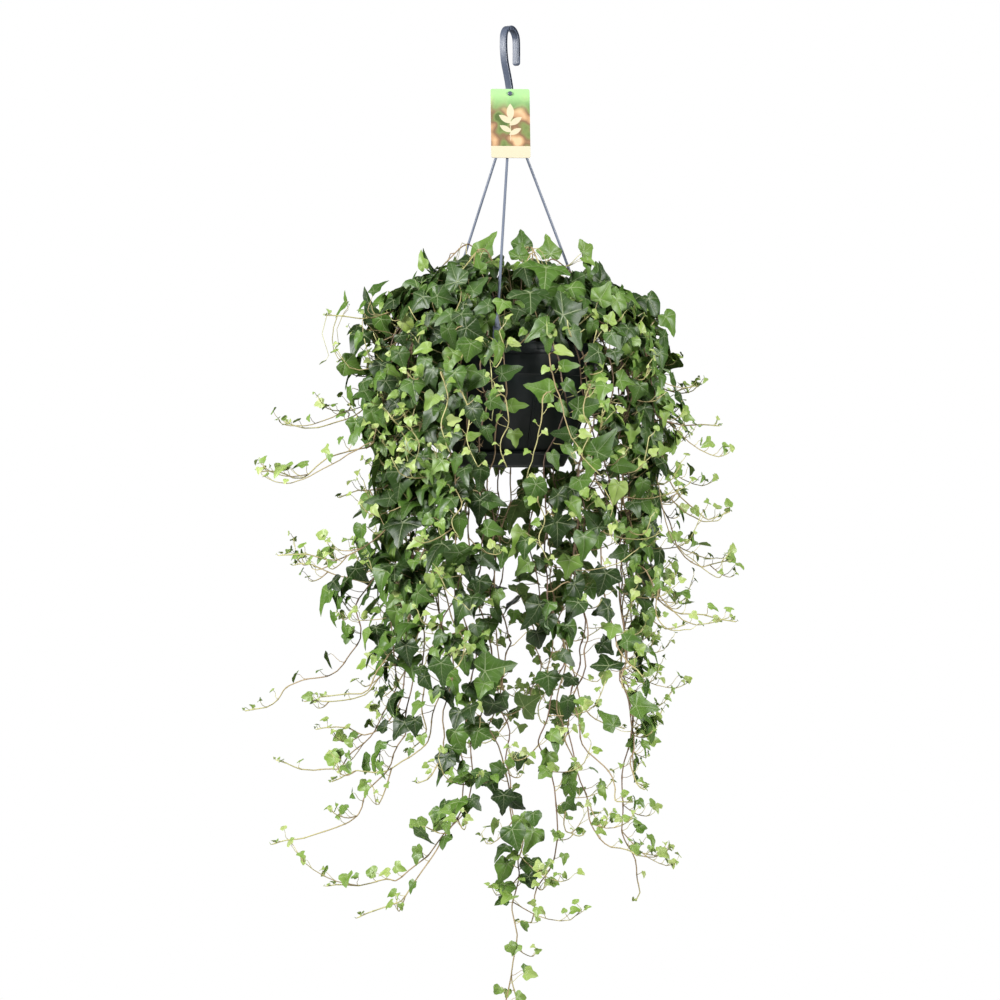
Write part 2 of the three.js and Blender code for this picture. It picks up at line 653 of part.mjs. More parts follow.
// Every stem with those of its leaves that stay clear of all other pieces and of the leaf before
function makeVines(courses, leafLists, others) {
  const stems = courses.map(makeStem);
  const taken = [...others.map((solid) => boxed(solid, -1)), ...stems.map((stem, i) => boxed(stem, i))];
  const isClear = (leaf, owner) => {
    const guard = makeLeaf(leaf, LEAF_CLEARANCE);
    const box = guard.boundingBox();
    return taken.every((piece) => piece.owner === owner || !boxesMeet(box, piece.box)
      || guard.intersect(piece.solid).isEmpty());
  };
  return courses.map((course, owner) => {
    const kept = [stems[owner]];
    let next = 0;
    for (const leaf of leafLists[owner]) {
      if (leaf.at >= next && isClear(leaf, owner)) {
        const solid = makeLeaf(leaf);
        kept.push(solid);
        taken.push(boxed(solid, owner));
        next = leaf.at + lerp(...SOLID_SPACING, leaf.share);
      }
    }
    return wasm.Manifold.union(kept);
  });
}

// The whole plant in its pot

const vineStreams = (count, offset) => Array.from({ length: count }, (_, i) => randomStream(offset + i));

const hangingVines = [...SHAPED_VINES, ...drawnVines()];
const streams = vineStreams(hangingVines.length + CROWN.count, 1000);
const courses = streams.map((random, i) => (i < hangingVines.length
  ? hangingCourse(hangingVines[i], random)
  : crownCourse(i - hangingVines.length, random)));
const leafLists = courses.map((course, i) => leavesAlong(course, streams[i]));

const pot = makePot();
const saucer = makeSaucer();
const soil = makeSoil(courses.map(([root]) => root));
const hook = makeHook();
const label = makeLabel();
const rods = Object.entries(ROD_ANGLES).map(([name, angle]) => [name, makeRod(angle)]);
const vines = makeVines(courses, leafLists, [pot, saucer, soil, hook, label, ...rods.map(([, rod]) => rod)]);

const plant = new THREE.Group();
plant.add(nodeFrom('pot', pot, potPlastic));
plant.add(nodeFrom('saucer', saucer, potPlastic));
plant.add(nodeFrom('soil', soil, pottingSoil));
plant.add(nodeFrom('hook', hook, hangerPlastic));
for (const [name, rod] of rods) {
  plant.add(nodeFrom(name, rod, hangerPlastic));
}
plant.add(nodeFrom('label', label, card));
vines.forEach((vine, i) => {
  const name = `vine_${String(i + 1).padStart(2, '0')}`;
  plant.add(nodeFrom(name, vine, ivyGreens[i % ivyGreens.length]));
});

export default plant;
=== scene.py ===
# %% [markdown]
# # A trailing ivy in its hanging pot
# The real object is a moulded pot that hangs on a hook and three slim rods. Ivy stems climb out of its
# soil, bend over the rim and trail far below it, thick with small lobed leaves. The CAD frame already holds
# every piece at its true size. This lesson dresses each of them: first the moulded pieces, then the plant.

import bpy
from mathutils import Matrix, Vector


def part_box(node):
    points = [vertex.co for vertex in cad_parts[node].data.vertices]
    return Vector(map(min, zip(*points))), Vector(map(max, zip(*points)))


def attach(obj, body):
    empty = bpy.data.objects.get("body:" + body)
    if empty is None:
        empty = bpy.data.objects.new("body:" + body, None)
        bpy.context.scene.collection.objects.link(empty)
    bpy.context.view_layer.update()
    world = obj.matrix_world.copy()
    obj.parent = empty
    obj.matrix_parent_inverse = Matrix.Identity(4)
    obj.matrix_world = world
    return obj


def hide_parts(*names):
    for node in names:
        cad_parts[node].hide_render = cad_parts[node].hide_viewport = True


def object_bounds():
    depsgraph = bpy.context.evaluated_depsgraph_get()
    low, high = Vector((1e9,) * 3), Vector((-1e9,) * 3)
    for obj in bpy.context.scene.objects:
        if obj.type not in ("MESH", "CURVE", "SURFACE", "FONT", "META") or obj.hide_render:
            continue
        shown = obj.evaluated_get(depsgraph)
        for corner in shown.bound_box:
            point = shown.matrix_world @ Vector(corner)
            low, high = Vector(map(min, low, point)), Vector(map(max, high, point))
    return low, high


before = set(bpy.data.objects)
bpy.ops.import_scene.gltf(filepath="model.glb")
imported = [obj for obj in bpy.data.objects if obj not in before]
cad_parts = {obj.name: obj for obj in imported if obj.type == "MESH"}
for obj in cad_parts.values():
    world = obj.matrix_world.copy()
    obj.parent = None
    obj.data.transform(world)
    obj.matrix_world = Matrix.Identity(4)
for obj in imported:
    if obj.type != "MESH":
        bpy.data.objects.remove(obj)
cad_low, cad_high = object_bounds()
print("CAD box from", list(cad_low), "to", list(cad_high))

# %% [markdown]
# ## Camera
# The photograph was taken level, from about three metres, so the rods and stems show almost no perspective.
# A long lens at that distance repeats it. One pixel of the photograph spans 1.36 mm at the pot's axis, and
# the camera looks at the middle of the photograph, a little to the left of that axis. Sizes in this file
# are in millimetres; only those of the camera, the lamps and the floor are in metres.

# %% Camera
import bpy
import math

MM = 0.001
PIXEL = 1.36
FRAME_PIXELS = 1000
AXIS_PIXEL = 510
HOOK_PIXEL = 30
CAMERA_DISTANCE = 3.1
SENSOR = 36


def put_in_scene(name, data):
    """A new object that carries a lens, a mesh or a lamp"""
    thing = bpy.data.objects.new(name, data)
    bpy.context.scene.collection.objects.link(thing)
    return thing


def aim_camera():
    """A level camera in front of the pot that frames it as the photograph does"""
    lens = bpy.data.cameras.new("photo_camera")
    lens.sensor_width = SENSOR
    lens.lens = SENSOR * CAMERA_DISTANCE / (FRAME_PIXELS * PIXEL * MM)
    camera = put_in_scene("photo_camera", lens)
    middle = FRAME_PIXELS / 2
    aside, height = (middle - AXIS_PIXEL) * PIXEL, (HOOK_PIXEL - middle) * PIXEL
    camera.location = (aside * MM, -CAMERA_DISTANCE, height * MM)
    camera.rotation_euler = (math.pi / 2, 0, 0)
    bpy.context.scene.camera = camera
    return camera


camera = aim_camera()
print(f"camera at {tuple(camera.location)}, lens {camera.data.lens:.1f} mm")

# %% [markdown]
# ## From outlines to meshes
# Every moulded piece starts as a list of points in millimetres, as in a workshop drawing. One helper rounds
# the corners of an outline, because no moulded edge is knife-sharp. Another makes the mesh, merges doubled
# points and shades it smooth up to a limit, so that real edges stay crisp.

# %% Rounded outlines
import numpy as np


def bend(start, corner, end, t):
    """A point of the curve that rounds a corner, or a row of points where t is a column"""
    return (1 - t) ** 2 * start + 2 * t * (1 - t) * corner + t * t * end


def eased(points, cuts, steps=3):
    """An open outline with each inner corner rounded over its cut on both edges, at most half an edge"""
    points = np.asarray(points, float)
    made = [points[0]]
    for before, here, after, cut in zip(points, points[1:], points[2:], cuts):
        back, ahead = before - here, after - here
        start = here + back * min(0.5, cut / np.linalg.norm(back))
        end = here + ahead * min(0.5, cut / np.linalg.norm(ahead))
        made += [bend(start, here, end, t) for t in np.linspace(0, 1, steps + 1)]
    made.append(points[-1])
    return np.array(made)


print(f"a square corner rounded by 1 mm has {len(eased([[0, 0], [5, 0], [5, 5]], [1]))} points")

# %% Meshes from points in millimetres
import bmesh

SHARP_ANGLE = math.radians(50)
MERGE_DISTANCE = 0.01 * MM


def new_piece(name, points, faces, finish):
    """An object from points in millimetres, with its faces turned outwards"""
    mesh = bpy.data.meshes.new(name)
    mesh.from_pydata((np.asarray(points) * MM).tolist(), [], faces)
    tidy = bmesh.new()
    tidy.from_mesh(mesh)
    bmesh.ops.remove_doubles(tidy, verts=tidy.verts, dist=MERGE_DISTANCE)
    bmesh.ops.dissolve_degenerate(tidy, edges=tidy.edges, dist=MERGE_DISTANCE)
    bmesh.ops.recalc_face_normals(tidy, faces=tidy.faces)
    tidy.to_mesh(mesh)
    tidy.free()
    mesh.materials.append(finish)
    piece = put_in_scene(name, mesh)
    smooth(piece)
    return piece


def smooth(piece, limit=SHARP_ANGLE):
    """Shades a piece smooth, except over edges sharper than the limit"""
    piece.data.shade_smooth()
    piece.data.set_sharp_from_angle(angle=limit)


def combine(piece, other, operation):
    """Adds another piece to this one or cuts it away, and keeps only the result"""
    change = piece.modifiers.new("combine", "BOOLEAN")
    change.object = other
    change.operation = operation
    seen = piece.evaluated_get(bpy.context.evaluated_depsgraph_get())
    made = bpy.data.meshes.new_from_object(seen)
    piece.modifiers.clear()
    piece.data = made
    bpy.data.objects.remove(other)
    smooth(piece)


def dress(piece, slot, *nodes):
    """The piece rides with the frame and stands for its CAD nodes"""
    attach(piece, "root")
    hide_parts(*nodes)
    print(f"{piece.name}: {len(piece.data.polygons)} faces, stands for {', '.join(nodes)}")


# %% Turned and swept forms
LATHE_SIDES = 128
ODD_DIRECTION = (0.31, 0.77, 0.56)


def band_faces(rows, sides):
    """Four-cornered faces that join each ring of points to the next"""
    faces = []
    for start in range(0, (rows - 1) * sides, sides):
        for side in range(sides):
            after = (side + 1) % sides
            faces.append((start + side, start + after, start + sides + after, start + sides + side))
    return faces


def turned(profile, sides=LATHE_SIDES):
    """A profile of [radius, height] pairs turned about the pot's axis"""
    turns = np.linspace(0, 2 * math.pi, sides, endpoint=False)
    radius, height = np.asarray(profile, float).T
    points = np.stack([
        np.outer(radius, np.sin(turns)),
        np.outer(radius, -np.cos(turns)),
        np.repeat(height[:, None], sides, axis=1),
    ], axis=-1).reshape(-1, 3)
    return points, band_faces(len(radius), sides)


def headings_along(path):
    """The direction of a path at each of its points, with length one"""
    headings = np.gradient(np.asarray(path, float), axis=0)
    return headings / np.linalg.norm(headings, axis=1)[:, None]


def ring_frames(path):
    """Two directions square to each point's heading, carried along a path without twisting"""
    headings = headings_along(path)
    across = np.cross(headings[0], ODD_DIRECTION)
    frames = []
    for heading in headings:
        across = across - heading * across.dot(heading)
        across /= np.linalg.norm(across)
        frames.append((across, np.cross(heading, across)))
    return frames


def swept(rings):
    """Points and faces of a closed body whose skin runs through rings of equally many points"""
    points = np.concatenate(rings)
    count, sides = len(rings), len(rings[0])
    caps = [tuple(range(sides))[::-1], tuple(range((count - 1) * sides, count * sides))]
    return points, caps + band_faces(count, sides)


def rod(path, radii, sides):
    """A round bar along a path, with a radius for each of its points"""
    turns = np.linspace(0, 2 * math.pi, sides, endpoint=False)[:, None]
    return swept([
        point + radius * (np.cos(turns) * across + np.sin(turns) * up)
        for point, radius, (across, up) in zip(np.asarray(path, float), radii, ring_frames(path))
    ])


print("helpers ready: turned, swept and rod")

# %% [markdown]
# ## Finishes as recipes
# A finish in Blender is a graph of nodes. Written out node by node it hides what it does, so a small class
# keeps one material and offers the few steps that these finishes share. A step that takes a value also
# takes the output of another step, and joins the two. Whatever is the same all over a surface goes straight
# onto the shader's own socket.

# %% A recipe for one finish


class Recipe:
    """One material, and the steps that lead to its shader"""

    def __init__(self, name):
        self.material = bpy.data.materials.new(name)
        self.material.use_nodes = True
        self.tree = self.material.node_tree
        self.shader = self.tree.nodes["Principled BSDF"]
        self.place = self.add("TexCoord").outputs["Object"]

    def add(self, kind, **settings):
        node = self.tree.nodes.new("ShaderNode" + kind)
        for name, value in settings.items():
            setattr(node, name, value)
        return node

    def join(self, socket, value):
        if isinstance(value, bpy.types.NodeSocket):
            self.tree.links.new(value, socket)
        else:
            socket.default_value = value

    def fill(self, node, **values):
        """Joins values to a node's sockets by their names"""
        for name, value in values.items():
            self.join(node.inputs[name.replace("_", " ")], value)
        return node

    def math(self, operation, one, other=0.0):
        node = self.add("Math", operation=operation)
        self.join(node.inputs[0], one)
        self.join(node.inputs[1], other)
        return node.outputs[0]

    def plus(self, one, other):
        return self.math("ADD", one, other)

    def minus(self, one, other):
        return self.math("SUBTRACT", one, other)

    def times(self, one, other):
        return self.math("MULTIPLY", one, other)

    def fade(self, value, start, end):
        """0 at start and 1 at end, with a soft step between them"""
        node = self.add("MapRange", interpolation_type="SMOOTHSTEP")
        return self.fill(node, Value=value, From_Min=start, From_Max=end).outputs["Result"]

    def mix(self, share, one, other, blend="MIX"):
        node = self.add("Mix", data_type="RGBA", blend_type=blend)
        for place, value in ((0, share), (6, one), (7, other)):
            self.join(node.inputs[place], value)
        return node.outputs[2]

    def ramp(self, value, stops):
        """Colours at rising positions, blended in between"""
        node = self.add("ValToRGB")
        elements = node.color_ramp.elements
        for position, _ in stops[1:-1]:
            elements.new(position)
        for element, (position, colour) in zip(elements, stops):
            element.position = position
            element.color = colour
        self.join(node.inputs["Fac"], value)
        return node.outputs["Color"]

    def noise(self, scale, stretch=(1, 1, 1), detail=4.0):
        spread = self.fill(self.add("Mapping"), Vector=self.place, Scale=stretch)
        node = self.fill(self.add("TexNoise"), Vector=spread.outputs[0], Scale=scale, Detail=detail)
        return node.outputs["Fac"]

    def attribute(self, name):
        return self.add("Attribute", attribute_name=name).outputs["Fac"]

    def flat_places(self, layer):
        """The two coordinates of a UV layer"""
        parts = self.fill(self.add("SeparateXYZ"), Vector=self.add("UVMap", uv_map=layer).outputs[0])
        return parts.outputs["X"], parts.outputs["Y"]

    def bump(self, height, depth, strength):
        """Raises the surface by a depth in millimetres where height is 1"""
        node = self.fill(self.add("Bump"), Strength=strength, Distance=depth * MM, Height=height)
        self.fill(self.shader, Normal=node.outputs[0])

    def finish(self, colour, roughness, **others):
        self.fill(self.shader, Base_Color=colour, Roughness=roughness, **others)
        return self.material


def colour(red, green, blue):
    """A screen colour from 0 to 255 as the light values that shaders take"""
    def light(value):
        share = value / 255
        return share / 12.92 if share <= 0.04045 else ((share + 0.055) / 1.055) ** 2.4
    return (light(red), light(green), light(blue), 1.0)


print("a mid grey of 128 is", round(colour(128, 128, 128)[0], 3), "as light")

# %% [markdown]
# ## Moulded plastic
# The pot is blue-black polypropylene with a low sheen. It gathers dust and lime in patches and in streaks
# where water has run down. Noise at three scales does that: broad patches of dust, streaks drawn out down
# the wall, and a fine pebble in the bump that breaks up its reflections.

# %% Pot plastic


def make_pot_plastic():
    recipe = Recipe("pot_plastic")
    patches = recipe.noise(9)
    streaks = recipe.noise(60, stretch=(1, 1, 0.12))
    grain = recipe.noise(1400, detail=2.0)
    dust = recipe.times(recipe.fade(patches, 0.42, 0.75), recipe.fade(streaks, 0.35, 0.7))
    clean = recipe.mix(streaks, colour(12, 19, 20), colour(20, 29, 30))
    tone = recipe.mix(recipe.times(dust, 0.45), clean, colour(44, 49, 50))
    recipe.bump(recipe.plus(grain, recipe.times(streaks, 2.0)), 0.12, 0.35)
    roughness = recipe.plus(recipe.times(dust, 0.3), 0.34)
    return recipe.finish(tone, roughness)


pot_plastic = make_pot_plastic()
print("made", pot_plastic.name)

# %% [markdown]
# ## The pot
# A moulded pot is a body of revolution, so a profile turned about its axis gives the wall, the band and the
# collar in one go. The rim and the foot come from the CAD node's box, and the steps between them are the
# driving sizes. The ribs that stiffen the wall are bars laid along it and joined by a union, so no hidden
# faces are left inside. Drain holes are cut last.

# %% Pot profile
pot_low, pot_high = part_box("pot")
RIM_RADIUS = pot_high.x / MM
RIM_Z = pot_high.z / MM
FOOT_Z = pot_low.z / MM
COLLAR_Z = RIM_Z - 16
BAND_Z = COLLAR_Z - 27
BAND_RADIUS = RIM_RADIUS - 3.5
WALL_TOP_RADIUS = BAND_RADIUS - 5.2
FOOT_RADIUS = 68
BELLY = (101, -533)
FOOT_RING = {"width": 5, "height": 2.5}
POT_WALL = 2.2
FLOOR_Z = FOOT_Z + 5.5
POT_EDGE = 0.8
COLLAR_GROOVE = 0.5
FIT_GAP = 0.3


def wall_curve(inset, steps=20):
    """The wall from the foot up to the band, bulging slightly"""
    t = np.linspace(0, 1, steps)[:, None]
    foot, belly, top = np.array([(FOOT_RADIUS, FOOT_Z), BELLY, (WALL_TOP_RADIUS, BAND_Z)], float)
    return bend(foot, belly, top, t) - [inset, 0]


def wall_radius_at(z):
    radius, height = wall_curve(0, 60).T
    return np.interp(z, height, radius)


def pot_profile():
    """Outside from the floor up to the rim, then inside back down to the floor"""
    outside = [
        [0, FOOT_Z + FOOT_RING["height"]],
        [FOOT_RADIUS - FOOT_RING["width"], FOOT_Z + FOOT_RING["height"]],
        [FOOT_RADIUS - FOOT_RING["width"], FOOT_Z],
        *wall_curve(0),
        [WALL_TOP_RADIUS + 2.2, BAND_Z],
        [BAND_RADIUS, COLLAR_Z + 2],
        [BAND_RADIUS, COLLAR_Z],
        [RIM_RADIUS, COLLAR_Z],
        [RIM_RADIUS, COLLAR_Z + 5.5],
        [RIM_RADIUS - COLLAR_GROOVE, COLLAR_Z + 6],
        [RIM_RADIUS - COLLAR_GROOVE, RIM_Z - 3],
        [RIM_RADIUS, RIM_Z - 2.6],
        [RIM_RADIUS, RIM_Z],
        [BAND_RADIUS - POT_WALL, RIM_Z],
    ]
    inside = [
        [BAND_RADIUS - POT_WALL, COLLAR_Z],
        *wall_curve(POT_WALL)[:0:-1],
        [FOOT_RADIUS - POT_WALL, FLOOR_Z],
        [0, FLOOR_Z],
    ]
    profile = outside + inside
    return eased(profile, [POT_EDGE] * len(profile), steps=2)


print(f"pot profile: {len(pot_profile())} points, rim radius {RIM_RADIUS:.0f} mm")

# %% Pot body, ribs and drain holes
RIB_ANGLES = (17, 89, 161, 233, 305)
RIB_RADIUS = 1.9
RIB_SUNK = 0.4
RIB_HEIGHTS = (-572, -486)
RIB_TAPER = 3
DRAIN_ANGLES = (0, 90, 180, 270)
DRAIN_RADIUS = 4
DRAIN_CIRCLE = 44


def polar(angle, radius, z):
    """A point at an angle from the front towards +X, a radius from the axis, and a height"""
    turn = math.radians(angle)
    return np.array([radius * math.sin(turn), -radius * math.cos(turn), z])


def make_pot():
    pot = new_piece("pot_body", *turned(pot_profile()), pot_plastic)
    for angle in RIB_ANGLES:
        heights = np.linspace(*RIB_HEIGHTS, 12)
        path = [polar(angle, wall_radius_at(z) - RIB_SUNK, z) for z in heights]
        from_end = np.minimum(heights - RIB_HEIGHTS[0], RIB_HEIGHTS[1] - heights)
        radii = RIB_RADIUS * np.sqrt(np.clip(from_end / RIB_TAPER, 0.3, 1))
        combine(pot, new_piece("rib", *rod(path, radii, 16), pot_plastic), "UNION")
    for angle in DRAIN_ANGLES:
        path = [polar(angle, DRAIN_CIRCLE, z) for z in (FOOT_Z - 2, FLOOR_Z + 2)]
        hole = new_piece("hole", *rod(path, [DRAIN_RADIUS] * 2, 24), pot_plastic)
        combine(pot, hole, "DIFFERENCE")
    return pot


dress(make_pot(), "pot_plastic", "pot")

# %% [markdown]
# ## The saucer
# The saucer is a shallow dish pushed on under the pot. It is turned like the pot, from the same plastic.
# Its rim is thickened outwards, and a low foot keeps its floor off a table.

# %% Saucer
saucer_low, saucer_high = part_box("saucer")
SAUCER_Z = saucer_low.z / MM
SAUCER_RIM_Z = saucer_high.z / MM
SAUCER_RADIUS = saucer_high.x / MM
SAUCER_FOOT = {"radius": 73, "width": 7, "height": 0.6}
SAUCER_RIM = {"height": 3, "step": 1.2}
SAUCER_WALL = 1.8
SAUCER_FLOOR = 2


def make_saucer():
    foot, raised = SAUCER_FOOT["radius"], SAUCER_Z + SAUCER_FOOT["height"]
    below_rim = SAUCER_RIM_Z - SAUCER_RIM["height"]
    profile = [
        [0, raised],
        [foot - SAUCER_FOOT["width"] - 1, raised],
        [foot - SAUCER_FOOT["width"], SAUCER_Z],
        [foot, SAUCER_Z],
        [SAUCER_RADIUS - SAUCER_RIM["step"], below_rim - 0.4],
        [SAUCER_RADIUS, below_rim],
        [SAUCER_RADIUS, SAUCER_RIM_Z],
        [SAUCER_RADIUS - SAUCER_WALL, SAUCER_RIM_Z],
        [foot - SAUCER_WALL, SAUCER_Z + SAUCER_FLOOR],
        [0, SAUCER_Z + SAUCER_FLOOR],
    ]
    cuts = [0.5, 0.5, 2.5, 0.5, 0.5, 0.7, 0.7, 2]
    return new_piece("saucer_dish", *turned(eased(profile, cuts)), pot_plastic)


dress(make_saucer(), "pot_plastic", "saucer")

# %% [markdown]
# ## Potting soil
# Soil is a rough crumb, not a smooth plug. The surface is a turned disc whose heights are stirred by
# fractal noise. A few hundred lumps of peat and bark lie on it: coarse balls, squashed and turned at random
# with a fixed seed. Only glimpses of it show between the stems.

# %% Soil finish and surface
from mathutils import Vector, noise

SOIL_Z = -446
SOIL_CROWN = 5
SOIL_RADIUS = BAND_RADIUS - POT_WALL - FIT_GAP
STIR = {"height": 1.6, "scale": 14}


def make_soil_finish():
    recipe = Recipe("potting_soil")
    crumbs = recipe.noise(160, detail=6.0)
    fibres = recipe.noise(420, stretch=(1, 0.25, 1))
    tone = recipe.ramp(crumbs, [
        (0.3, colour(30, 20, 14)), (0.55, colour(58, 41, 29)), (0.7, colour(92, 68, 48)),
    ])
    tone = recipe.mix(recipe.fade(fibres, 0.6, 0.75), tone, colour(120, 96, 70))
    recipe.bump(crumbs, 1.2, 0.8)
    return recipe.finish(tone, 0.95)


def soil_height(x, y):
    """Height of the soil at a place: a low crown, stirred by noise"""
    share = (x * x + y * y) / SOIL_RADIUS ** 2
    stir = noise.fractal(Vector((x, y, 0)) / STIR["scale"], 0.8, 2.2, 5)
    return SOIL_Z + SOIL_CROWN * (1 - share) + STIR["height"] * stir * min(1, 4 * (1 - share))


def soil_body():
    """A plug that fills the pot, with a top of many rings for the noise to stir"""
    rings = np.linspace(0, SOIL_RADIUS, 46)
    inset, floor = POT_WALL + FIT_GAP, FLOOR_Z + FIT_GAP
    top = [[radius, SOIL_Z] for radius in rings]
    points, faces = turned([*top, *wall_curve(inset)[:0:-1], [FOOT_RADIUS - inset, floor], [0, floor]])
    for point in points[:len(rings) * LATHE_SIDES]:
        point[2] = soil_height(point[0], point[1])
    return points, faces


soil_finish = make_soil_finish()
soil = new_piece("soil_surface", *soil_body(), soil_finish)
print(f"soil top from {soil_height(0, 0):.1f} mm in the middle to {SOIL_Z} mm at the wall")

# %% Lumps of peat and bark
LUMP_COUNT = 420
LUMP_SIZES = (1.2, 4.2)
LUMP_SPREAD = 112
LUMP_SEED = 4


def soil_lumps():
    """Points and faces of squashed lumps spread over the soil"""
    draw = np.random.default_rng(LUMP_SEED)
    ball = bmesh.new()
    bmesh.ops.create_icosphere(ball, subdivisions=1, radius=1)
    shape = np.array([vertex.co for vertex in ball.verts])
    corners = np.array([[vertex.index for vertex in face.verts] for face in ball.faces])
    ball.free()
    points, faces = [], []
    for lump in range(LUMP_COUNT):
        angle, radius = draw.uniform(0, 2 * math.pi), LUMP_SPREAD * math.sqrt(draw.uniform())
        x, y = radius * math.cos(angle), radius * math.sin(angle)
        turn, _ = np.linalg.qr(draw.normal(size=(3, 3)))
        size = draw.uniform(*LUMP_SIZES) * draw.uniform(0.35, 1, 3)
        rough = shape * draw.uniform(0.75, 1.2, (len(shape), 1))
        points.append((rough * size) @ turn + [x, y, soil_height(x, y) + 0.3 * size.min()])
        faces += (corners + lump * len(shape)).tolist()
    return np.concatenate(points), faces


lumps = new_piece("lumps", *soil_lumps(), soil_finish)
with bpy.context.temp_override(active_object=soil, selected_editable_objects=[soil, lumps]):
    bpy.ops.object.join()
smooth(soil)
dress(soil, "potting_soil", "soil")

# %% [markdown]
# ## The hanger's plastic
# Hook and rods are a paler, blue-grey plastic with a soft shine, slightly cloudy all over. Streaks follow
# its length, so the noise is stretched along Z. The rods get paler tones than the hook: a painted highlight
# for the shine along the thin rods. So the one recipe takes its two tones as arguments.

# %% Hanger plastic


def make_hanger_plastic(title, dark, light):
    recipe = Recipe(title)
    streaks = recipe.noise(60, stretch=(1, 1, 0.1), detail=2.0)
    cloud = recipe.noise(30, detail=2.0)
    worn = recipe.times(recipe.fade(streaks, 0.5, 0.8), 0.2)
    tone = recipe.mix(worn, recipe.mix(cloud, dark, light), colour(130, 138, 154))
    roughness = recipe.plus(recipe.times(cloud, 0.2), 0.24)
    return recipe.finish(tone, roughness)


hook_plastic = make_hanger_plastic("hook_plastic", colour(64, 71, 86), colour(88, 96, 112))
# The rods' paler tones are a painted highlight, standing in for the shine along them.
rod_plastic_painted_highlight = make_hanger_plastic("rod_plastic_painted_highlight", colour(88, 95, 110), colour(114, 122, 138))
print("made", hook_plastic.name, "and", rod_plastic_painted_highlight.name)

# %% [markdown]
# ## The hook
# The hook is a stiff strap bent into a crook. To save plastic it is moulded with pockets along both sides,
# parted by thin cross ribs, and shallow grooves run down its broad faces. A cross-section swept along the
# crook gives all of that: the pockets come from a section whose sides step in and out along the way. Its
# hub, with a socket for each rod, is turned, joined on and then bored.

# %% The crook and its section
UP = np.array([0.0, 0.0, 1.0])
HOOK_TURN = 58
HOOK_HALF = 4.75
HOOK_DEPTH = 2.75
HOOK_EDGE = 0.5
GROOVE_DEPTH = 0.32
SECTION_SPACING = 0.55
CROWN_RADIUS = 13.5
HOOK_TIP = [[16.4, -46], [16.6, -29]]
HOOK_SHAFT = [[-16.3, -28], [-13.4, -45], [-7, -62], [-2, -77], [0, -92], [0, -112]]
POCKET = {"depth": 1.7, "pitch": 6.6, "rib": 1.1, "ends": 12, "edge": 1.0}


def through(knots, share):
    """A point of the smooth curve through knots, at a knot's number plus a share of the next run"""
    knots = np.asarray(knots, float)
    padded = np.concatenate([[2 * knots[0] - knots[1]], knots, [2 * knots[-1] - knots[-2]]])
    run = min(int(share), len(knots) - 2)
    t = share - run
    before, start, end, after = padded[run:run + 4]
    rise, fall = (end - before) / 2, (after - start) / 2
    return (
        (2 * t ** 3 - 3 * t ** 2 + 1) * start + (t ** 3 - 2 * t ** 2 + t) * rise
        + (3 * t ** 2 - 2 * t ** 3) * end + (t ** 3 - t ** 2) * fall
    )


def curve_through(knots, count):
    """A number of points, evenly spread over the runs of the smooth curve through knots"""
    return np.array([through(knots, share) for share in np.linspace(0, len(knots) - 1, count)])


def crook_line():
    """Even steps along the strap from its tip to the hub, and its centreline there as [sideways, height]"""
    radius = CROWN_RADIUS + HOOK_DEPTH
    turns = np.radians(range(0, 181, 30))
    arc = [[radius * math.cos(turn), radius * math.sin(turn) - CROWN_RADIUS] for turn in turns]
    dense = curve_through(HOOK_TIP + arc + HOOK_SHAFT, 900)
    length = np.concatenate([[0], np.cumsum(np.linalg.norm(np.diff(dense, axis=0), axis=1))])
    even = np.arange(0, length[-1], SECTION_SPACING)
    return even, np.column_stack([np.interp(even, length, places) for places in dense.T])


def strap_section(recess, size):
    """The strap's outline, half of it and its mirror image: grooved broad faces and pocketed sides"""
    flat = HOOK_HALF - HOOK_EDGE
    across = np.linspace(-flat, flat, 19)
    groove = GROOVE_DEPTH * (0.5 - 0.5 * np.cos(across / flat * 3 * math.pi + math.pi))
    outer = np.column_stack([across, HOOK_DEPTH - groove])
    front = [
        [HOOK_HALF, HOOK_DEPTH - HOOK_EDGE],
        [HOOK_HALF, HOOK_DEPTH - POCKET["edge"]],
        [HOOK_HALF - recess, HOOK_DEPTH - POCKET["edge"] - 0.15],
    ]
    side = np.array(front + [[across, -depth] for across, depth in front[::-1]])
    half = np.concatenate([outer, side])
    return np.concatenate([half, -half]) * size


even, crook = crook_line()
print(f"the strap is {even[-1]:.0f} mm long with sections every {even[1]:.2f} mm")

# %% Hook, hub and label peg
LABEL_HOLE_Z = -88.5
LABEL_HOLE_Y = -10.5
PEG = [[0, 0], [1.5, 0], [1.5, 10.6], [2.4, 11.4], [3.2, 12.2], [3.1, 13.2], [2.1, 14.0], [0, 14.2]]
HUB = [[0, -104], [5, -104], [8.5, -109], [11.5, -118], [11.5, -133], [0, -133]]
HUB_LIP = [[0, -131], [12.1, -131], [12.1, -129.6], [11.3, -129], [0, -129]]
PEG_EDGE = 0.5
HUB_EDGE = 0.9
ROD_ANGLES = {"rod_front": -8, "rod_right": 112, "rod_left": 232}
ROD_RADIUS = 1.8
ROD_TOP = (3.5, -122)
ROD_FOOT = (126.4, -414)
SOCKET = {"gap": 0.5, "above": 0.3, "length": 30}


def make_strap():
    plane = polar(HOOK_TURN + 90, 1, 0)
    square = np.cross(plane, UP)
    rings = []
    for along, (sideways, height), (run, rise) in zip(even, crook, headings_along(crook)):
        place = (along - POCKET["ends"]) % POCKET["pitch"]
        on_rib = place < POCKET["rib"] or not POCKET["ends"] < along < even[-1] - POCKET["ends"]
        size = math.sqrt(min(1, 0.25 + along / 3.2))
        section = strap_section(0 if on_rib else POCKET["depth"], size)
        outward = rise * plane - run * UP
        middle = sideways * plane + height * UP
        rings.append(middle + section[:, :1] * square + section[:, 1:] * outward)
    return new_piece("hook_strap", *swept(rings), hook_plastic)


def rod_line(angle):
    """Where a rod starts and ends, and the direction down it"""
    top, foot = polar(angle, *ROD_TOP), polar(angle, *ROD_FOOT)
    return top, foot, (foot - top) / np.linalg.norm(foot - top)


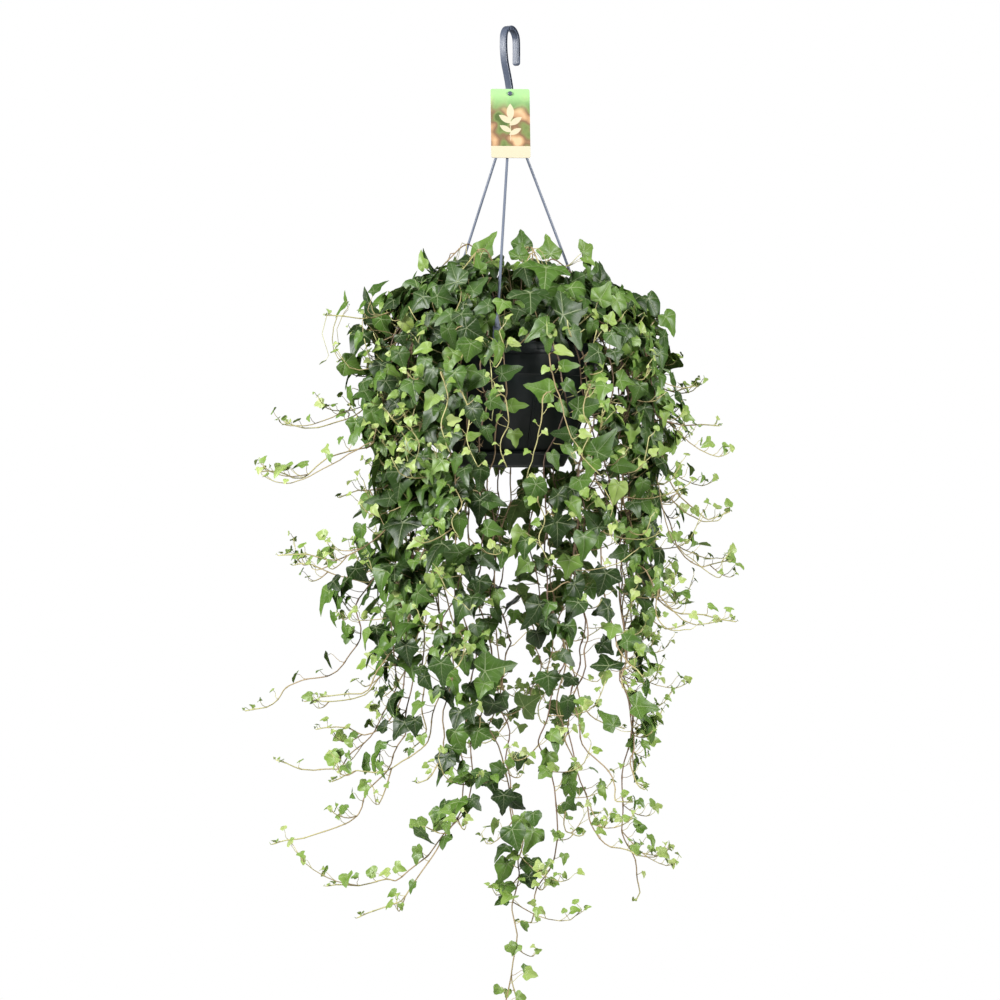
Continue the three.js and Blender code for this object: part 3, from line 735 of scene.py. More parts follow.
def make_hook():
    hook = make_strap()
    for profile in (HUB, HUB_LIP):
        outline = eased(profile, [HUB_EDGE] * len(profile))
        combine(hook, new_piece("hub", *turned(outline, 48), hook_plastic), "UNION")
    points, faces = turned(eased(PEG, [PEG_EDGE] * len(PEG)), 24)
    along_y = np.column_stack([points[:, 0], -points[:, 2], points[:, 1] + LABEL_HOLE_Z])
    combine(hook, new_piece("peg", along_y, faces, hook_plastic), "UNION")
    for angle in ROD_ANGLES.values():
        top, _, down = rod_line(angle)
        path = [top - SOCKET["above"] * down, top + SOCKET["length"] * down]
        socket = new_piece("socket", *rod(path, [ROD_RADIUS + SOCKET["gap"]] * 2, 24), hook_plastic)
        combine(hook, socket, "DIFFERENCE")
    hook.name = "hook_and_hub"
    return hook


dress(make_hook(), "hanger_plastic", "hook")

# %% [markdown]
# ## Rods and rim clips
# Each rod is a round bar that thickens just above its clip. The clip is a bent strip: it lies against the
# collar, folds over the rim and drops a short tab inside. It follows the rim's curve, so its outline is
# swept through a few steps of angle. A bevel rounds its edges.

# %% Rods
BULB = {"radius": 3.2, "length": 9, "taper": 10}
ROD_TIP_RADIUS = 2.6
CLIP = {"half_width": 5.5, "plate": 2.2, "top": -412, "bottom": -445, "tab": 7, "bevel": 0.5}


def clip_outline():
    """The clip's section as [radius, height]: tab inside the rim, fold over it, plate outside"""
    plate, tab_foot = CLIP["plate"], RIM_Z - CLIP["tab"]
    outside, inside = RIM_RADIUS + FIT_GAP, BAND_RADIUS - POT_WALL - 3 * FIT_GAP
    over = RIM_Z + FIT_GAP
    return [
        [inside, tab_foot], [inside, over], [outside, over], [outside, CLIP["bottom"]],
        [outside + plate, CLIP["bottom"] + 1.5], [outside + plate, CLIP["top"]], [outside, CLIP["top"]],
        [outside, over + plate], [inside - plate, over + plate], [inside - plate, tab_foot],
    ]


def make_rod(name, angle):
    top, foot, down = rod_line(angle)
    length = np.linalg.norm(foot - top)
    bulb = length - BULB["length"]
    stops = [0, bulb - BULB["taper"], bulb, length - 1, length]
    places = np.concatenate([np.linspace(0, stops[1], 12), np.linspace(stops[1], length, 20)[1:]])
    radii = np.interp(places, stops, [ROD_RADIUS] * 2 + [BULB["radius"]] * 2 + [ROD_TIP_RADIUS])
    piece = new_piece(f"{name}_bar", *rod([top + down * along for along in places], radii, 20), rod_plastic_painted_highlight)
    reach = math.degrees(CLIP["half_width"] / RIM_RADIUS)
    rings = [
        [polar(angle + turn, radius, height) for radius, height in clip_outline()]
        for turn in np.linspace(-reach, reach, 7)
    ]
    clip = new_piece("clip", *swept(rings), rod_plastic_painted_highlight)
    bevel = clip.modifiers.new("bevel", "BEVEL")
    bevel.width = CLIP["bevel"] * MM
    bevel.segments = 2
    combine(piece, clip, "UNION")
    return piece


for name, angle in ROD_ANGLES.items():
    dress(make_rod(name, angle), "hanger_plastic", name)

# %% [markdown]
# ## The card label
# The label is a printed card with a hole for the peg. It gets a plain decoration of its own: a soft garden
# blur, a sprig of simple leaves and a cream foot. The finish works the print out from the card's own
# coordinates, so it needs no image. A leaf of the sprig is the area between two parabolas: its breadth
# falls with the square of the way from its middle to its tips.

# %% Label print
LABEL = {"width": 53, "height": 99, "thickness": 0.9, "corner": 3, "above_hole": 6.5, "hole": 2.3}
LABEL_LEAN = 12.8
LABEL_TURN = 3
SPRIG = [
    (0.5, 0.66, 90, 0.13), (0.37, 0.56, 145, 0.11), (0.63, 0.53, 35, 0.11), (0.38, 0.42, 150, 0.1),
    (0.62, 0.38, 30, 0.1),
]
SPRIG_SLIMNESS = 0.42


def leaf_shape(recipe, across, up, middle, turn, half_length):
    """1 inside a simple pointed leaf, 0 outside"""
    x = recipe.minus(across, middle[0])
    y = recipe.minus(up, middle[1])
    cosine, sine = math.cos(math.radians(turn)), math.sin(math.radians(turn))
    along = recipe.plus(recipe.times(x, cosine), recipe.times(y, sine))
    aside = recipe.minus(recipe.times(y, cosine), recipe.times(x, sine))
    share = recipe.math("POWER", recipe.math("DIVIDE", along, half_length), 2.0)
    edge = recipe.times(recipe.minus(1.0, share), half_length * SPRIG_SLIMNESS)
    inside = recipe.minus(edge, recipe.math("ABSOLUTE", aside))
    return recipe.fade(inside, 0.0, 0.008)


def make_label_print():
    recipe = Recipe("label_print")
    ratio = LABEL["width"] / LABEL["height"]
    share, up = recipe.flat_places("card")
    across = recipe.times(share, ratio)
    blur = recipe.noise(38, detail=1.5)
    garden = recipe.ramp(blur, [
        (0.36, colour(76, 96, 48)), (0.43, colour(112, 126, 74)), (0.5, colour(120, 92, 68)),
        (0.57, colour(172, 136, 100)), (0.64, colour(204, 172, 134)),
    ])
    garden = recipe.mix(recipe.fade(up, 0.62, 0.98), garden, colour(150, 196, 130))
    sprig = recipe.fade(recipe.math("ABSOLUTE", recipe.minus(across, 0.5 * ratio)), 0.006, 0.002)
    sprig = recipe.times(sprig, recipe.fade(up, 0.24, 0.26))
    sprig = recipe.times(sprig, recipe.fade(up, 0.66, 0.6))
    for x, y, turn, half_length in SPRIG:
        shape = leaf_shape(recipe, across, up, (x * ratio, y), turn, half_length)
        sprig = recipe.math("MAXIMUM", sprig, shape)
    garden = recipe.mix(recipe.times(sprig, 0.85), garden, colour(202, 192, 164))
    tone = recipe.mix(recipe.fade(up, 0.168, 0.172), colour(193, 184, 158), garden)
    front = recipe.add("VectorMath", operation="DOT_PRODUCT")
    recipe.join(front.inputs[0], recipe.add("NewGeometry").outputs["Normal"])
    recipe.join(front.inputs[1], (0, -1, 0))
    tone = recipe.mix(recipe.fade(front.outputs["Value"], 0.3, 0.5), colour(174, 170, 156), tone)
    return recipe.finish(tone, 0.32, Coat_Weight=0.3, Coat_Roughness=0.15)


label_print = make_label_print()
print("made", label_print.name)

# %% Label card
from mathutils import Matrix


def card_outline():
    """The card's outline from its hole, as [across, height], with round corners"""
    half, top = LABEL["width"] / 2, LABEL["above_hole"]
    bottom = top - LABEL["height"]
    corners = [[0, top], [half, top], [half, bottom], [-half, bottom], [-half, top], [0, top]]
    return eased(corners, [LABEL["corner"]] * 4, steps=6)[:-1]


def make_label():
    width, height = LABEL["width"] * MM, LABEL["height"] * MM
    rings = [[(x, y, z) for x, z in card_outline()] for y in (0, -LABEL["thickness"])]
    card = new_piece("label_card", *swept(rings), label_print)
    hole = new_piece("hole", *rod([[0, 2, 0], [0, -3, 0]], [LABEL["hole"]] * 2, 24), label_print)
    combine(card, hole, "DIFFERENCE")
    uv = card.data.uv_layers.new(name="card")
    foot = LABEL["above_hole"] * MM - height
    for corner in card.data.loops:
        x, _, z = card.data.vertices[corner.vertex_index].co
        uv.data[corner.index].uv = (x / width + 0.5, (z - foot) / height)
    lean = Matrix.Rotation(math.radians(-LABEL_LEAN), 4, "X")
    turn = Matrix.Rotation(math.radians(LABEL_TURN), 4, "Z")
    card.data.transform(Matrix.Translation(Vector((0, LABEL_HOLE_Y, LABEL_HOLE_Z)) * MM) @ turn @ lean)
    return card


dress(make_label(), "label_card", "label")

# %% [markdown]
# ## How the ivy grows
# The stems follow the same rule as the CAD frame, with the same random draws, so every leafy stem lies
# where its solid does. Each leaves the soil, arches over the rim, falls to its knee and sweeps out to a tip
# that curls up. Twenty-six are listed one by one to give the plant its outline; twenty more are drawn in
# groups, and five short shoots fill the crown.

# %% Random streams shared with the frame
FRAME_SEED = 1000


def random_stream(seed):
    """Evenly spread numbers from 0 to 1 that are the same on every run"""
    word = 2 ** 32 - 1
    step = 0x6D2B79F5
    state = seed

    def draw():
        nonlocal state
        state = (state + step) & word
        mixed = ((state ^ (state >> 15)) * (state | 1)) & word
        mixed ^= (mixed + (mixed ^ (mixed >> 7)) * (mixed | 61)) & word
        return (mixed ^ (mixed >> 14)) / (word + 1)

    return draw


def lerp(start, end, share):
    return start + (end - start) * share


def clamp(value, low=0.0, high=1.0):
    return max(low, min(high, value))


def unit(vector):
    return vector / np.linalg.norm(vector)


print("first draw of the first stem:", round(random_stream(FRAME_SEED)(), 4))

# %% Stems listed one by one and drawn in groups
ARCH = {
    "shoulder": (138, 225), "root_radius": (92, 40), "crest_radius": (113, 98),
    "crest_z": (-411, -345), "shoulder_z": (-470, -505),
}
SHAPED_VINES = [
    (-72, 152, -372, (-78, 252, -392), 10), (-68, 165, -505, (-76, 343, -602), 12),
    (-104, 178, -452, (-99, 316, -531), 14), (-60, 158, -600, (-71, 323, -712), 8),
    (-88, 172, -575, (-86, 232, -636), 14), (-112, 168, -640, (-104, 310, -730), 10),
    (-84, 176, -655, (-90, 360, -926), 5), (-50, 150, -715, (-62, 282, -896), 4),
    (-118, 158, -790, (-107, 300, -921), 4), (-96, 150, -865, (-94, 266, -953), 26),
    (-76, 160, -840, (-79, 318, -986), 36), (-42, 142, -880, (-56, 278, -1003), 25),
    (-66, 150, -880, (-72, 329, -1092), 14), (-14, 146, -915, (-58, 282, -1139), 24),
    (-24, 154, -985, (-42, 290, -1168), 3), (-4, 140, -1000, (6, 150, -1330), 0),
    (22, 148, -990, (5, 112, -1192), 0), (186, 150, -960, (170, 120, -1142), 0),
    (78, 168, -985, (80, 172, -1179), 0), (36, 150, -955, (52, 210, -1103), 2),
    (84, 205, -575, (88, 298, -655), 14), (98, 200, -600, (94, 304, -722), 26),
    (60, 178, -690, (70, 315, -799), 9), (118, 196, -720, (108, 257, -813), 6),
    (72, 205, -470, (74, 288, -541), 10), (104, 178, -420, (100, 260, -482), 12),
]
DRAWN_GROUPS = [
    {"count": 4, "angles": (-56, -26), "shoulder": (140, 172), "tip_z": (-790, -1080), "reach": (8, 60)},
    {"count": 6, "angles": (28, 96), "shoulder": (140, 185), "tip_z": (-820, -1040), "reach": (8, 70)},
    {"count": 10, "angles": (124, 229), "shoulder": (142, 205), "tip_z": (-640, -1130), "reach": (20, 130)},
]
DRAWN_SEED = 23
DRAWN_SWEEP = (110, 200)


def drawn_vines():
    """Stems as (angle, shoulder, knee, tip, curl), like those listed one by one"""
    draw = random_stream(DRAWN_SEED)
    vines = []
    for group in DRAWN_GROUPS:
        start, end = group["angles"]
        for i in range(group["count"]):
            angle = start + (end - start) / group["count"] * (i + 0.35 + 0.3 * draw())
            shoulder = lerp(*group["shoulder"], draw())
            tip_z = lerp(*group["tip_z"], draw())
            knee = tip_z + lerp(*DRAWN_SWEEP, draw())
            tip = (angle + lerp(-12, 12, draw()), shoulder + lerp(*group["reach"], draw()), tip_z)
            vines.append((angle, shoulder, knee, tip, 16 * draw()))
    return vines


hanging_vines = SHAPED_VINES + drawn_vines()
print(f"{len(hanging_vines)} hanging stems, the last at {hanging_vines[-1][0]:.1f} degrees")

# %% The course of each stem
ROOT_DEPTH = 20
WANDER = 5
LEAN_IN = 8
FALL_LENGTH = 170
CROWN = {"count": 5, "turn": 33, "root_radius": 20, "reach": (70, 118), "top": (-326, -292), "droop": 34}


def hanging_course(vine, draw):
    """Knots from the root over the rim, down to the knee and out to the tip"""
    angle, shoulder, knee, tip, curl = vine
    arch = clamp((shoulder - ARCH["shoulder"][0]) / (ARCH["shoulder"][1] - ARCH["shoulder"][0]))
    names = ("root_radius", "crest_radius", "crest_z", "shoulder_z")
    root_radius, crest_radius, crest_z, shoulder_z = (lerp(*ARCH[name], arch) for name in names)

    def strayed(point):
        stray_x = (draw() - 0.5) * 2 * WANDER
        stray_y = (draw() - 0.5) * 2 * WANDER
        return point + [stray_x, stray_y, 0]

    course = [
        polar(angle, root_radius, SOIL_Z - ROOT_DEPTH),
        polar(angle, root_radius, SOIL_Z + 7),
        polar(angle, lerp(root_radius, crest_radius, 0.5), lerp(SOIL_Z, crest_z, 0.8)),
        polar(angle, crest_radius, crest_z),
        polar(angle, lerp(crest_radius, shoulder, 0.62), lerp(crest_z, shoulder_z, 0.25)),
    ]
    if knee < shoulder_z - 50:
        falls = math.ceil((shoulder_z - knee) / FALL_LENGTH)
        for i in range(falls):
            z = lerp(shoulder_z, knee, i / falls)
            course.append(strayed(polar(angle, shoulder - LEAN_IN * i / falls, z)))
    start, end = strayed(polar(angle, shoulder - LEAN_IN, knee)), polar(*tip)
    course.append(start)
    for share in (0.4, 0.72, 1):
        out, down = 1 - math.cos(share * math.pi / 2), math.sin(share * math.pi / 2)
        x, y, _ = lerp(start, end, out)
        course.append(np.array([x, y, lerp(start[2], end[2] - curl, down) + curl * share ** 4]))
    return np.array(course)


def crown_course(index, draw):
    """Knots of a short shoot from the middle of the soil up into the crown"""
    angle = CROWN["turn"] + 360 / CROWN["count"] * index
    top = lerp(*CROWN["top"], draw())
    reach = lerp(*CROWN["reach"], draw())
    root = CROWN["root_radius"]
    return np.array([
        polar(angle, root, SOIL_Z - ROOT_DEPTH),
        polar(angle, root, SOIL_Z + SOIL_CROWN + 4),
        polar(angle, root + 6, lerp(SOIL_Z, top, 0.6)),
        polar(angle, lerp(root, reach, 0.45), top),
        polar(angle, reach, top - CROWN["droop"]),
    ])


vine_count = len(hanging_vines) + CROWN["count"]
streams = [random_stream(FRAME_SEED + i) for i in range(vine_count)]
courses = [
    hanging_course(hanging_vines[i], draw) if i < len(hanging_vines)
    else crown_course(i - len(hanging_vines), draw)
    for i, draw in enumerate(streams)
]
print(f"{vine_count} stems, the longest of {max(len(course) for course in courses)} points")

# %% [markdown]
# ## Where the leaves sit
# Ivy leaves alternate along the stem. Each stands on a petiole and turns its face out and up to the light,
# while its tip hangs down. Leaves shrink towards the growing tip. These are again the frame's own draws.
# The frame keeps only the leaves that clear all others, as solids must; here nearly all of them show, as
# they overlap on the real plant.

# %% One leaf
from dataclasses import dataclass


@dataclass
class Leaf:
    """Points and the width in millimetres, directions of length one, and the place along the stem's knots"""
    root: np.ndarray
    junction: np.ndarray
    facing: np.ndarray
    tip: np.ndarray
    outward: np.ndarray
    heading: np.ndarray
    width: float
    lobing: float
    grown: float
    place: float = 0
    side: int = 1
    stretch: float = None
    curl: float = 1


print("a leaf has", ", ".join(Leaf.__annotations__))

# %% Leaves along a stem
OLD_LEAF = 52
YOUNG_LEAF = 9
GROWING_LENGTH = 280
FIRST_LEAF = 16
LEAF_SPACING = (14, 0.44)
OPEN_FRONT = {"angles": (-13, 22), "heights": (-600, -458), "skipped": 0.65}
CLEAR_FRONT = {"angles": (-8, 15), "heights": (-590, -458)}


def rotated(vector, axis, angle):
    """A vector turned about an axis of length one"""
    return (
        vector * math.cos(angle) + np.cross(axis, vector) * math.sin(angle)
        + axis * axis.dot(vector) * (1 - math.cos(angle))
    )


def away_from_axis(point):
    """The level direction from the pot's axis to a point"""
    return unit(point * [1, 1, 0])


def before_pot(junction, window):
    """Whether a leaf joins in a window of angles and heights in front of the pot"""
    angle = math.degrees(math.atan2(junction[0], -junction[1]))
    (left, right), (low, high) = window["angles"], window["heights"]
    return left < angle < right and low < junction[2] < high


def leaves_along(course, draw):
    """The leaves of one stem, each with its place on it, its junction, directions and size"""
    runs = np.linalg.norm(np.diff(course, axis=0), axis=1)
    total = runs.sum()
    leaves = []
    side = 1 if draw() < 0.5 else -1
    at = runs[0] + FIRST_LEAF
    while at < total:
        run, within = 0, at
        while within > runs[run]:
            within -= runs[run]
            run += 1
        grown = clamp((total - at) / GROWING_LENGTH)
        width = lerp(YOUNG_LEAF, OLD_LEAF, grown) * (0.7 + 0.45 * draw())
        petiole = width * (0.4 + 0.45 * draw()) + 4
        root = lerp(course[run], course[run + 1], within / runs[run])
        heading = unit(course[run + 1] - course[run])
        outward = away_from_axis(root)
        sideways = np.cross(UP, outward)
        tilt = math.radians(lerp(62, 24, clamp(-heading[2])) + 36 * (draw() - 0.5))
        facing = unit(outward * math.cos(tilt) + UP * math.sin(tilt) + sideways * 0.7 * (draw() - 0.5))
        reach = unit(facing * 0.8 + sideways * side * (0.3 + 0.5 * draw()))
        junction = root + reach * petiole
        roll = math.radians(130 * (draw() - 0.5) + 14 * side)
        hang = outward * 0.3 - UP
        tip = rotated(unit(hang - facing * hang.dot(facing)), facing, roll)
        lobing = draw()
        if not before_pot(junction, OPEN_FRONT) or lobing >= OPEN_FRONT["skipped"]:
            leaves.append(Leaf(
                root, junction, facing, tip, outward, heading, width, lobing, grown,
                place=run + within / runs[run], side=side,
            ))
        at += (LEAF_SPACING[0] + LEAF_SPACING[1] * width) * (0.85 + 0.3 * draw())
        side = -side
    return leaves


leaf_lists = [leaves_along(course, draw) for course, draw in zip(courses, streams)]
leaf_counts = [len(leaves) for leaves in leaf_lists]
print(f"{sum(leaf_counts)} leaves, {min(leaf_counts)} to {max(leaf_counts)} a stem")

# %% [markdown]
# ## The shape of a blade
# An ivy blade has five lobes with a vein to each, all from the point where the petiole joins. Some leaves
# are almost entire, so two outlines, one deeply lobed and one nearly plain, are blended leaf by leaf. The
# middle lobe ends in a point; the others and the notches between them are rounded. The blade is a fan of
# rings about the junction, with an upper and a lower skin that meet at the edge: a thin solid, not a paper
# cut-out.

# %% Blade outline
LOBED = np.array([[0, -0.1], [0.28, -0.26], [0.35, -0.06], [0.51, 0.14], [0.22, 0.28], [0, 0.76]])
ENTIRE = np.array([[0, -0.08], [0.28, -0.2], [0.4, -0.03], [0.42, 0.14], [0.25, 0.34], [0, 0.62]])
DROOP = np.array([0, 0.03, 0.02, 0.08, 0.03, 0.16])
ROUNDED_LOBED = (0.5, 0.45, 0.3, 0.45)
ROUNDED_ENTIRE = (0.5, 0.5, 0.5, 0.5)
BULGE = (0.16, 0.12, 0.12, 0.12, 0.13)
BASAL, LATERAL, MIDDLE = 0, 1, 2


def half_outline(lobing, fine):
    """Points from the notch round one side to the tip, as [across, along, up] shares of the blade's width,
    with the lobe that each stretch belongs to"""
    corners = np.column_stack([lerp(ENTIRE, LOBED, lobing), -DROOP])
    cuts = lerp(np.array(ROUNDED_ENTIRE), np.array(ROUNDED_LOBED), lobing)
    points = [corners[0]]
    steps = (0, 0.5, 1) if fine else (0.5,)
    for i in range(1, 5):
        before, here, after = corners[i - 1], corners[i], corners[i + 1]
        start, end = here + (before - here) * cuts[i - 1], here + (after - here) * cuts[i - 1]
        run = start - points[-1]
        points.append(lerp(points[-1], start, 0.5) + BULGE[i - 1] * np.array([run[1], -run[0], 0]))
        points += [bend(start, here, end, t) for t in steps]
    run = corners[5] - points[-1]
    aside, last = np.array([run[1], -run[0], 0]), points[-1]
    for share, swell in ((0.38, 1), (0.74, 0.5)) if fine else ((0.5, 0.9),):
        points.append(lerp(last, corners[5], share) + swell * BULGE[4] * aside)
    points.append(corners[5])
    turns = (7, 15) if fine else (4, 8)
    lobes = [BASAL if i < turns[0] else LATERAL if i < turns[1] else MIDDLE for i in range(len(points) - 1)]
    return np.array(points), np.array(lobes)


for fine in (False, True):
    print("half outline", "fine" if fine else "plain", len(half_outline(0.5, fine)[0]), "points")

# %% Topology of a blade
UPPER, UNDER, BARK = 0, 1, 2


def blade_plan(fine):
    """Rings, triangles and lobes that all blades of one fineness share"""
    half, lobes = half_outline(0.5, fine)
    count = 2 * (len(half) - 1)
    shares, under = ([0.36, 0.7, 1.0], [0.6]) if fine else ([0.55, 1.0], [])
    right = np.stack([lobes, np.ones_like(lobes)], axis=1)
    owners = np.concatenate([right, right[::-1] * [1, -1]])
    edge = 1 + (len(shares) - 1) * count
    triangles, face_lobes, skins = [], [], []
    for skin, centre, inner in ((UPPER, 0, shares[:-1]), (UNDER, edge + count, under)):
        rings = [centre + 1 + ring * count for ring in range(len(inner))] + [edge]
        for i in range(count):
            after = (i + 1) % count
            corners = [[centre, rings[0] + i, rings[0] + after]]
            for near, far in zip(rings, rings[1:]):
                corners += [[near + i, far + i, far + after], [near + i, far + after, near + after]]
            triangles += corners if skin == UPPER else [corner[::-1] for corner in corners]
            face_lobes += [owners[i]] * len(corners)
            skins += [skin] * len(corners)
    return {
        "fine": fine, "shares": shares, "under": under, "triangles": np.array(triangles),
        "lobes": np.array(face_lobes), "skins": np.array(skins),
    }


PLANS = {fine: blade_plan(fine) for fine in (False, True)}
for fine, plan in PLANS.items():
    print(f"{'fine' if fine else 'plain'} blade: {len(plan['triangles'])} triangles")

# %% [markdown]
# ## Folds, puckers and veins
# A flat outline would look like confetti. Each blade droops to its lobes as in the frame, then gets its own
# fold along the midrib, a bend, a wavy edge and a slight pucker between the veins. Its thickness tapers to
# the edge. For the finish, each face also learns how far its corners lie along and beside the vein of its
# lobe.

# %% One blade
BLADE_THICKNESS = 0.45
PUCKER = 0.024
FOLD = (-0.12, 0.34)
YOUNG_FOLD = 0.35
CUP = (-0.1, 0.75)
NOD = (-0.1, 0.6)


def make_blade(leaf, plan, draw):
    """Points in millimetres and vein coordinates of one leaf's blade"""
    half, _ = half_outline(leaf.lobing, plan["fine"])
    outline = np.concatenate([half, half[-2:0:-1] * [-1, 1, 1]])
    vein_tips = lerp(ENTIRE, LOBED, leaf.lobing)[[1, 3, 5]]
    angles = np.arctan2(outline[:, 0], outline[:, 1])
    vein_angles = np.arctan2(vein_tips[:, 0], vein_tips[:, 1])
    off_vein = np.abs(np.abs(angles)[:, None] - vein_angles[None, :]).min(axis=1)
    pucker = np.clip(off_vein / 0.4, 0, 1)
    phase, wave = 6.28 * draw(), 0.01 + 0.025 * draw()
    fold = lerp(*FOLD, draw()) + YOUNG_FOLD * (1 - leaf.grown)
    cup, nod = leaf.curl * np.array([lerp(*CUP, draw()), lerp(*NOD, draw())])
    upper, lower = [np.zeros((1, 3))], [np.zeros((1, 3))]
    for share in plan["shares"] + plan["under"]:
        x, y, z = outline.T * share
        y = y * (leaf.stretch or 1)
        z = z * share + PUCKER * pucker * math.sin(math.pi * min(share, 0.85))
        z = z + wave * np.sin(5 * angles + phase) * share ** 2
        z = z + fold * np.abs(x) - cup * x ** 2 - nod * np.clip(y, 0, 1) ** 2
        rings = upper if len(upper) <= len(plan["shares"]) else lower
        rings.append(np.column_stack([x, y, z]))
    shape = np.concatenate(upper + lower)
    local = shape * leaf.width
    thick = BLADE_THICKNESS * clamp(leaf.width / 30, 0.5, 1)
    local[sum(map(len, upper)):, 2] -= thick
    across = np.cross(leaf.tip, leaf.facing)
    points = leaf.junction + local @ np.array([across, leaf.tip, leaf.facing])
    flat = shape[:, :2][plan["triangles"]]
    directions = np.array([unit(tip) for tip in vein_tips])[plan["lobes"][:, 0]]
    directions = directions * np.column_stack([plan["lobes"][:, 1], np.ones(len(directions))])
    along = np.einsum("fcx,fx->fc", flat, directions)
    beside = np.einsum("fcx,fx->fc", flat, directions[:, ::-1] * [1, -1])
    return points, np.stack([beside, along], axis=-1)


example, veins = make_blade(leaf_lists[0][0], PLANS[True], random_stream(1))
print(f"a blade of {leaf_lists[0][0].width:.0f} mm spans {np.ptp(example, axis=0).round(1)} mm")

# %% [markdown]
# ## One mesh for each leafy stem
# The frame has a node for each vine, so each vine becomes one mesh: stem, petioles, side shoots and blades.
# A collector takes their points and triangles, with what the finishes need: which skin a triangle belongs
# to, its vein coordinates, how young the growth is, and a random tint for each leaf.

# %% The collector
LEAF_SHARP_ANGLE = math.radians(100)


def thin_rod(path, radii, sides):
    """Like rod, but as triangles for the collector"""
    points, faces = rod(path, radii, sides)
    triangles = [(face[0], face[i], face[i + 1]) for face in faces for i in range(1, len(face) - 1)]
    return points, np.array(triangles)


class Growth:
    """Gathers the parts of one vine until they become a mesh"""

    def __init__(self):
        self.points, self.triangles, self.finishes, self.veins = [], [], [], []
        self.youth, self.tint, self.widths = [], [], []
        self.count = 0

    def add(self, points, triangles, finishes, youth, tint, veins=None):
        self.points.append(points)
        self.triangles.append(triangles + self.count)
        self.finishes.append(np.broadcast_to(finishes, len(triangles)))
        self.veins.append(np.zeros((len(triangles), 3, 2)) if veins is None else veins)
        self.youth.append(np.broadcast_to(youth, len(points)))
        self.tint.append(np.broadcast_to(tint, len(points)))
        self.count += len(points)

    def add_stalk(self, path, radii, sides, youth, tint):
        """A thin rod of bark, with one youth for all of it or one for each point of its path"""
        points, triangles = thin_rod(path, radii, sides)
        self.add(points, triangles, BARK, np.repeat(np.broadcast_to(youth, len(path)), sides), tint)

    def make_piece(self, name, finishes):
        mesh = bpy.data.meshes.new(name)
        triangles = np.concatenate(self.triangles)
        mesh.from_pydata((np.concatenate(self.points) * MM).tolist(), [], triangles.tolist())
        mesh.polygons.foreach_set("material_index", np.concatenate(self.finishes).astype(np.int32))
        layer = mesh.uv_layers.new(name="veins")
        layer.data.foreach_set("uv", np.concatenate(self.veins).astype(np.float32).ravel())
        for title, values in (("youth", self.youth), ("tint", self.tint)):
            attribute = mesh.attributes.new(title, "FLOAT", "POINT")
            attribute.data.foreach_set("value", np.concatenate(values).astype(np.float32))
        for finish in finishes:
            mesh.materials.append(finish)
        piece = put_in_scene(name, mesh)
        smooth(piece, LEAF_SHARP_ANGLE)
        return piece


straight = np.linspace([0, 0, 0], [0, 0, 5], 6)
print("a thin rod of six sections has", len(thin_rod(straight, [1] * 6, 4)[1]), "triangles")

# %% [markdown]
# ## Stems and petioles
# A stem is a curve through its course, thinning to its tip and slightly swollen where a leaf stands on it.
# No stem hangs dead straight, so smooth noise lets it stray by a centimetre or two. The noise gets a fixed
# seed, because it would otherwise bend the stems anew on every run. Petioles are not straight wires either:
# they leave the stem sideways, then bend round to meet the blade from behind. A Bézier curve with one
# handle at each end gives that bend.

# %% Stems
STEM_RADII = (1.25, 0.85)
STEM_SIDES = 5
SECTION_LENGTH = 11
NODE_SWELLING = 1.35
STRAYS = ((26, 105), (11, 42))
STRAYING = (-440, -560)
NOISE_SEED = 5
noise.seed_set(NOISE_SEED)


def waver(point, scale):
    """A vector of smooth noise, which changes little over a distance well below the scale"""
    return np.array(noise.noise_vector(Vector(point) / scale))


def stem_point(course, place):
    """A point of the stem's centreline, at a knot's number plus a share of the next run"""
    point = through(course, place)
    share = clamp(min(place - 1, (len(course) - 1 - place) * 1.5))
    share *= lerp(0.4, 1, clamp((STRAYING[0] - point[2]) / (STRAYING[0] - STRAYING[1])))
    return point + share * sum(reach * waver(point, scale) for reach, scale in STRAYS)


def stem_youth(share):
    """Old bark is dark; only the last stretch of a stem is pale and green"""
    return clamp((share - 0.3) / 0.7) ** 3


def grow_stem(growth, course, leaves, tint):
    """A stem with sections at even steps and three more at each leaf, for the swelling"""
    last = len(course) - 1
    lengths = np.linalg.norm(np.diff(course, axis=0), axis=1)
    places = [
        run + step for run, length in enumerate(lengths)
        for step in np.linspace(0, 1, max(2, int(length / SECTION_LENGTH)), endpoint=False)
    ] + [last]
    nodes = [leaf.place for leaf in leaves]
    around = [place + shift for place in nodes for shift in (-0.03, 0, 0.03) if 0 < place + shift < last]
    places = np.unique(np.round(places + around, 3))
    near = np.array([min([abs(place - node) for node in nodes] or [1]) for place in places])
    radii = lerp(*STEM_RADII, places / last) * np.where(near < 0.004, NODE_SWELLING, 1)
    path = np.array([stem_point(course, place) for place in places])
    youth = [clamp(stem_youth(place / last) + 0.35 * tint ** 2) for place in places]
    growth.add_stalk(path, radii, STEM_SIDES, youth, tint)


print("stems stray by up to", sum(reach for reach, _ in STRAYS), "mm")

# %% Petioles and leaves
PETIOLE_RADII = (0.85, 0.55)
STRETCH = (0.9, 1.25)
SMALL_WIDTH = 15
FINE_WIDTH = 30


def petiole_path(leaf, steps):
    """From the stem to the underside of the blade"""
    root, junction = leaf.root, leaf.junction - leaf.facing * 0.3
    span = np.linalg.norm(junction - root)
    leaving = unit(leaf.outward * 0.7 + leaf.heading * 0.35 + unit(junction - root) * 0.7)
    arriving = unit(-leaf.tip * 0.8 - leaf.facing * 0.55)
    handles = (root, root + leaving * span * 0.45, junction + arriving * span * 0.4, junction)
    t = np.linspace(0, 1, steps)[:, None]
    weights = ((1 - t) ** 3, 3 * t * (1 - t) ** 2, 3 * t * t * (1 - t), t ** 3)
    return sum(weight * handle for weight, handle in zip(weights, handles))


